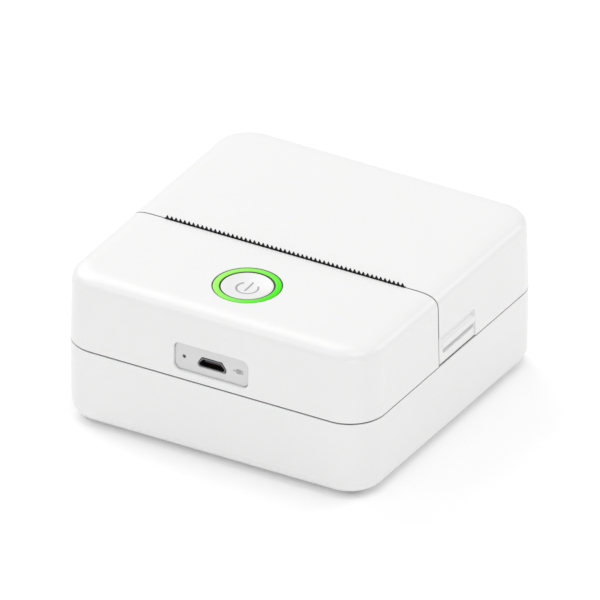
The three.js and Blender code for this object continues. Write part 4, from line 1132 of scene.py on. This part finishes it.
    def socket(self) -> None:
        """Builds the socket's formed shell, its tongue and the status light's pipe."""
        for node, edge, finish in (("socket_shell", 0.06 * MM, NICKEL), ("socket_tongue", 0.08 * MM, CHIP)):
            Workpiece.copy_of(node).soften(edge, segments=2).smooth().rest(Body.BASE, finish, node)
        low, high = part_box("status_light_pipe")
        pipe = Workpiece.bar("status_light_pipe_finished", (high[0] - low[0]) / 2, Axis.Y, low[1], high[1],
                             middle_of(low, high, 2, 0), 32)
        pipe.soften(0.1 * MM).smooth().rest(Body.BASE, LENS, "status_light_pipe")

    def plug_mark(self) -> None:
        """Lays a small drawing of a plug into the panel, its lines in millimetres beside the socket."""
        face, back = -39.3 * MM, -39.1 * MM
        height = self.panel_z + 0.05 * MM
        square = upright(rounded_rectangle(0.55 * MM, 0.55 * MM, 0.2 * MM, 5))
        mark = Workpiece.outline("plug_mark", square, Axis.Y, face, (height, 6.9 * MM))
        mark.extrude(Axis.Y, back - face)
        for start, end, rise, half in self.plug_lines:
            mark.join(Workpiece.block("line", (start * MM, face, height + (rise - half) * MM),
                                      (end * MM, back, height + (rise + half) * MM)))
        mark.smooth().rest(Body.BASE, MARKING)

    def contacts(self) -> None:
        """Lays five contacts along the socket's tongue."""
        half = self.contact_half
        (front, low), (rear, high) = self.contact_box
        for number in range(5):
            x = (number - 2) * self.contact_pitch
            name = f"socket_contact_{number + 1}"
            contact = Workpiece.block(name, (x - half, front, low), (x + half, rear, high))
            contact.soften(0.03 * MM).smooth().rest(Body.BASE, BRASS)

    def gap_shade_sleeves(self) -> None:
        """Builds the two dark sleeves in the gaps round the ring, painted shade that draws the ring's dark
        outlines.
        """
        gap = 0.02 * MM
        top = self.form.top - 0.15 * MM
        for name, inner, outer in (
                ("inner_light_baffle", self.button_radius + gap, self.ring_inner - gap),
                ("outer_light_baffle", self.ring_outer + gap, Case.ring_hole - gap)):
            sleeve = Workpiece.tube(
                name, inner, outer, Axis.Z, top - self.shade_sleeve_height, top, self.centre, 128)
            sleeve.smooth().rest(Body.BASE, GAP_SHADE)


# ---------------------------------------------------------------- inside the case


@dataclass
class Cutter:
    """The toothed blade behind the button, and the flange that holds it under the cover."""

    front: float = -6.64 * MM
    thickness: float = 0.22 * MM
    half_width: float = 31.0 * MM
    root: float = 37.88 * MM
    tip: float = 38.8 * MM
    teeth: int = 55
    land: float = 0.04 * MM
    flange_front: float = -11.7 * MM
    flange_low: float = 35.3 * MM
    flange_high: float = 35.6 * MM

    def build(self) -> None:
        """Builds and dresses the cutter."""
        pitch = 2 * self.half_width / self.teeth
        points = [(self.flange_low, -self.half_width)]
        for number in range(self.teeth):
            left = -self.half_width + number * pitch
            points += [(self.root, left + self.land), (self.tip, left + 0.46 * pitch),
                       (self.tip, left + 0.54 * pitch), (self.root, left + pitch - self.land)]
        points.append((self.flange_low, self.half_width))
        blade = Workpiece.outline("tear_bar_finished", points, Axis.Y, self.front)
        blade.extrude(Axis.Y, self.thickness)
        flange = Workpiece.block("flange", (-self.half_width, self.flange_front, self.flange_low),
                                 (self.half_width, self.front + self.thickness / 2, self.flange_high))
        blade.join(flange).soften(0.03 * MM, 50.0, 1).smooth().rest(Body.BASE, TEAR, "tear_bar")


@dataclass(frozen=True)
class Turned:
    """A turned piece: the node that gives its place, its axis, its bore and its edge rounding."""

    node: str
    axis: Axis
    finish: Finish
    body: Body = Body.BASE
    bore: float = 0.0
    edge: float = 0.1 * MM

    def build(self) -> None:
        """Builds and dresses the piece."""
        low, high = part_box(self.node)
        first, second, along = self.axis.value
        radius = min(high[first] - low[first], high[second] - low[second]) / 2
        ends = (low[along], high[along], middle_of(low, high, first, second))
        name = f"{self.node}_finished"
        if self.bore:
            piece = Workpiece.tube(name, self.bore, radius, self.axis, *ends)
        else:
            piece = Workpiece.bar(name, radius, self.axis, *ends)
        piece.soften(self.edge).smooth().rest(self.body, self.finish, self.node)


@dataclass
class TurnedParts:
    """Every turned piece: roll, roller, shafts, pins and feet."""

    roller_bore: float = 1.48 * MM
    core_bore: float = 3.8 * MM
    paper_bore: float = 5.52 * MM

    def build(self) -> None:
        """Builds and dresses the pieces in order."""
        parts = [
            Turned("platen_roller", Axis.X, RUBBER, Body.PLATEN, self.roller_bore, 0.3 * MM),
            Turned("platen_shaft", Axis.X, STEEL, Body.PLATEN, 0.0, 0.25 * MM),
            Turned("paper_roll", Axis.X, PAPER, Body.ROLL, self.paper_bore, 0.12 * MM),
            Turned("roll_core", Axis.X, CARD, Body.ROLL, self.core_bore, 0.15 * MM),
            Turned("motor_shaft", Axis.X, STEEL, Body.MOTOR_ROTOR),
            Turned("head_pivot_pin", Axis.X, STEEL),
            Turned("idler_axle", Axis.X, STEEL),
            Turned("reduction_axle", Axis.X, STEEL),
        ]
        for side in ("left", "right"):
            parts += [Turned(f"hinge_pin_{side}", Axis.X, STEEL),
                      Turned(f"foot_front_{side}", Axis.Z, RUBBER, edge=0.3 * MM),
                      Turned(f"foot_rear_{side}", Axis.Z, RUBBER, edge=0.3 * MM)]
        for part in parts:
            part.build()
        self.paper_end()

    def paper_end(self) -> None:
        """Wraps the last turn of paper round the roll, so that its free edge shows."""
        low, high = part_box("paper_roll")
        radius = (high[2] - low[2]) / 2
        angles = turns(math.radians(115), math.radians(330), 90)
        points = arc(radius + 0.1 * MM, angles) + arc(radius - 0.03 * MM, reversed(angles))
        layer = Workpiece.outline("paper_end", points, Axis.X, low[0] + 0.1 * MM, middle_of(low, high, 1, 2))
        layer.extrude(Axis.X, high[0] - low[0] - 0.2 * MM).smooth().rest(Body.ROLL, PAPER)


@dataclass
class Screws:
    """Pan heads with a crossed recess, over the shanks of the frame's screws."""

    recess_half: float = 0.25 * MM
    recess_depth: float = 0.5 * MM

    def build(self) -> None:
        """Builds and dresses every screw."""
        for node in sorted(frame["nodes"]):
            if "screw" in node:
                self.screw(node)

    def screw(self, node: str) -> None:
        """Builds one screw from its node, with the recess cut in its head.

        Args:
            node: The screw's node.
        """
        low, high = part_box(node)
        heads_down = node.startswith("case")
        floor = low[2] - MM if heads_down else high[2] - self.recess_depth
        top = low[2] + self.recess_depth if heads_down else high[2] + MM
        piece = Workpiece.copy_of(node).soften(0.12 * MM, segments=2)
        piece.cross_recess(middle_of(low, high), 0.32 * (high[0] - low[0]), self.recess_half, floor, top)
        piece.smooth().rest(Body.BASE, STEEL, node)


@dataclass
class HeadSprings:
    """The two coil springs that press the print head against the roller."""

    radius: float = 1.3 * MM
    wire: float = 0.2 * MM
    coils: float = 4.5
    steps: int = 126

    def build(self) -> None:
        """Builds and dresses both springs."""
        for side in ("left", "right"):
            low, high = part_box(f"head_spring_{side}")
            middle = [(a + b) / 2 for a, b in zip(low, high)]
            length = high[1] - low[1] - 2 * self.wire
            pick(None)
            bpy.ops.mesh.primitive_circle_add(vertices=12, radius=self.wire, fill_type="NOTHING",
                                              location=(self.radius, 0.0, 0.0))
            bpy.ops.object.transform_apply()
            spring = Workpiece(bpy.context.object, f"head_spring_{side}_finished").edit("EDGE")
            bpy.ops.transform.rotate(value=math.pi / 2, orient_axis="X", orient_type="GLOBAL",
                                     center_override=(self.radius, 0.0, 0.0))
            spring.done().modifier("SCREW", axis="Z", angle=2 * math.pi * self.coils, screw_offset=length,
                                   steps=self.steps, render_steps=self.steps)
            spring.obj.rotation_euler = (math.pi / 2, 0.0, 0.0)
            spring.obj.location = (middle[0], high[1] - self.wire, middle[2])
            pick(spring.obj)
            bpy.ops.object.transform_apply()
            spring.edit("EDGE")
            bpy.ops.mesh.remove_doubles(threshold=1e-6)
            bpy.ops.mesh.select_all(action="DESELECT")
            bpy.ops.mesh.select_non_manifold()
            bpy.ops.mesh.edge_face_add()
            spring.face_out().smooth(60.0).rest(Body.BASE, STEEL, f"head_spring_{side}")


@dataclass
class LidInside:
    """The stiffening ribs inside the lid and the screws that hold the roller's carrier."""

    ceiling: float = 35.95 * MM
    rib_low: float = 35.0 * MM
    rib_half: float = 0.5 * MM
    front: float = 8.0 * MM
    rear: float = 33.5 * MM
    screw_y: float = 4.6 * MM

    def build(self) -> None:
        """Builds and dresses the ribs and the screw heads."""
        rib = Workpiece.block("lid_ribs", (-28.5 * MM, 19.5 * MM, self.rib_low),
                              (28.5 * MM, 20.5 * MM, self.ceiling))
        for number in range(-2, 3):
            x = 14 * number * MM
            rib.join(Workpiece.block("rib", (x - self.rib_half, self.front, self.rib_low),
                                     (x + self.rib_half, self.rear, self.ceiling)))
        rib.soften(0.15 * MM, segments=2).smooth().rest(Body.LID, SHELL)
        for number, x in enumerate((-22 * MM, 22 * MM), start=1):
            centre = (x, self.screw_y)
            head = Workpiece.bar(
                f"carrier_screw_{number}", 1.5 * MM, Axis.Z, 33.75 * MM, 34.5 * MM, centre, 40)
            head.soften(0.25 * MM).cross_recess(centre, 0.9 * MM, 0.22 * MM, 33 * MM, 34.1 * MM)
            head.smooth().rest(Body.LID, STEEL)


@dataclass
class FormedParts:
    """Every other piece: the frame's own form, its edges rounded by a width in millimetres."""

    edge: float = 0.08
    soft_edges: tuple[tuple[str, float], ...] = (
        ("mech_frame", 0.2), ("paper_bay", 0.25), ("platen_carrier", 0.25), ("main_board", 0.05),
        ("battery_pack", 0.6), ("radio_module", 0.2), ("control_chip", 0.12), ("head_heatsink", 0.12),
        ("thermal_head", 0.12), ("stepper_motor", 0.3), ("tact_switch", 0.15), ("switch_plunger", 0.2),
        ("head_connector", 0.12), ("battery_connector", 0.12), ("paper_sensor", 0.15))

    def build(self) -> None:
        """Refines every node that no finished piece stands for yet."""
        slots = {entry["node"]: entry["material_slot"] for entry in frame["record"]["subparts"]}
        widths = dict(self.soft_edges)
        for body, nodes in frame["record"]["behaviour"]["bodies"].items():
            for node in nodes:
                if f"{node}_finished" in bpy.data.objects:
                    continue
                piece = Workpiece.copy_of(node).soften(widths.get(node, self.edge) * MM, segments=2)
                piece.smooth(30.0).rest(Body(body), FINISHES[slots[node]], node)


# ---------------------------------------------------------------- the stage


@dataclass
class Studio:
    """A pale floor, soft light and the camera."""

    azimuth: float = math.radians(30.0)
    elevation: float = math.radians(30.05)
    span: float = 134.53 * MM
    aim: Point = (0.123 * MM, 2.587 * MM, 19.37 * MM)
    distance: float = 0.6
    sky: float = 0.6
    areas: tuple[tuple[str, Point, Flat, float], ...] = (
        ("key", (-0.7, 0.35, 0.75), (0.8, 0.8), 3.9),
        ("overhead", (0.25, -0.05, 1.0), (0.5, 0.5), 2.1),
        ("edge_strip", (-0.35, -0.5, 0.75), (0.9, 0.12), 1.0),
        ("side_strip", (0.5, 0.75, 0.5), (0.25, 0.7), 1.35),
        ("corner_light", (0.6, -0.8, 0.1), (0.2, 0.2), 1.0))

    def build(self) -> None:
        """Builds the floor, the lights and the camera."""
        self.floor()
        self.lights()
        self.camera()

    def camera(self) -> None:
        """Sets a parallel camera on the case's middle."""
        turn, rise = self.azimuth, self.elevation
        right = Vector((math.cos(turn), math.sin(turn), 0.0))
        up = Vector((-math.sin(turn) * math.sin(rise), math.cos(turn) * math.sin(rise), math.cos(rise)))
        back = right.cross(up)
        target = Vector((0.0, 0.0, self.aim[2])) + right * self.aim[0] + up * self.aim[1]
        data = bpy.data.cameras.new("camera")
        data.type = "ORTHO"
        data.ortho_scale = self.span
        camera = bpy.data.objects.new("camera", data)
        bpy.context.scene.collection.objects.link(camera)
        camera.matrix_world = Matrix.Translation(target + back * self.distance) @ Matrix(
            (right, up, back)).transposed().to_4x4()
        bpy.context.scene.camera = camera

    def floor(self) -> None:
        """Lays a wide pale floor."""
        pick(None)
        bpy.ops.mesh.primitive_plane_add(size=8.0, location=(0.0, 0.0, -0.02 * MM))
        floor = bpy.context.object
        floor.name = "floor"
        material = bpy.data.materials.new("pale_floor")
        material.use_nodes = True
        shader = material.node_tree.nodes["Principled BSDF"]
        white = (1.0, 1.0, 1.0, 1.0)
        pale = (0.93, 0.93, 0.93, 1.0)
        for label, value in (("Base Color", pale), ("Roughness", 0.9), ("Specular IOR Level", 0.0),
                             ("Emission Color", white), ("Emission Strength", 0.1)):
            shader.inputs[label].default_value = value
        floor.data.materials.append(material)

    def lights(self) -> None:
        """Hangs the lights round the printer under a white sky."""
        for light in self.areas:
            self.area(*light)
        world = bpy.data.worlds.new("white_sky")
        bpy.context.scene.world = world
        world.use_nodes = True
        sky = world.node_tree.nodes["Background"]
        sky.inputs["Color"].default_value = (1.0, 1.0, 1.0, 1.0)
        seen = world.node_tree.nodes.new("ShaderNodeLightPath")
        level = world.node_tree.nodes.new("ShaderNodeMapRange")
        level.inputs["To Min"].default_value = self.sky
        level.inputs["To Max"].default_value = 1.0
        links = world.node_tree.links
        links.new(seen.outputs["Is Camera Ray"], level.inputs["Value"])
        links.new(level.outputs["Result"], sky.inputs["Strength"])
        bpy.context.scene.view_settings.view_transform = "Standard"

    def area(self, name: str, place: Point, size: Flat, power: float) -> None:
        """Hangs one square light that faces the printer.

        Args:
            name: Its name.
            place: Where it hangs.
            size: Its width and height.
            power: Its power in watts.
        """
        data = bpy.data.lights.new(name, "AREA")
        data.shape = "RECTANGLE"
        data.size, data.size_y = size
        data.energy = power
        light = bpy.data.objects.new(name, data)
        bpy.context.scene.collection.objects.link(light)
        light.location = place
        aim = Vector((0.0, 0.0, 0.02)) - Vector(place)
        light.rotation_euler = aim.to_track_quat("-Z", "Y").to_euler()


def dress_nodes() -> None:
    """Gives every node of the frame its finish."""
    for entry in frame["record"]["subparts"]:
        node = frame["nodes"][entry["node"]]
        node.data.materials.clear()
        node.data.materials.append(FINISHES[entry["material_slot"]].material())


def main() -> None:
    """Builds the printer's looks in order."""
    logging.basicConfig(level=logging.INFO, format="%(name)s: %(message)s")
    Studio().build()
    dress_nodes()
    for assembly in (Case, Controls, Cutter, TurnedParts, Screws, HeadSprings, LidInside, FormedParts):
        assembly().build()


if __name__ == "__main__":
    main()
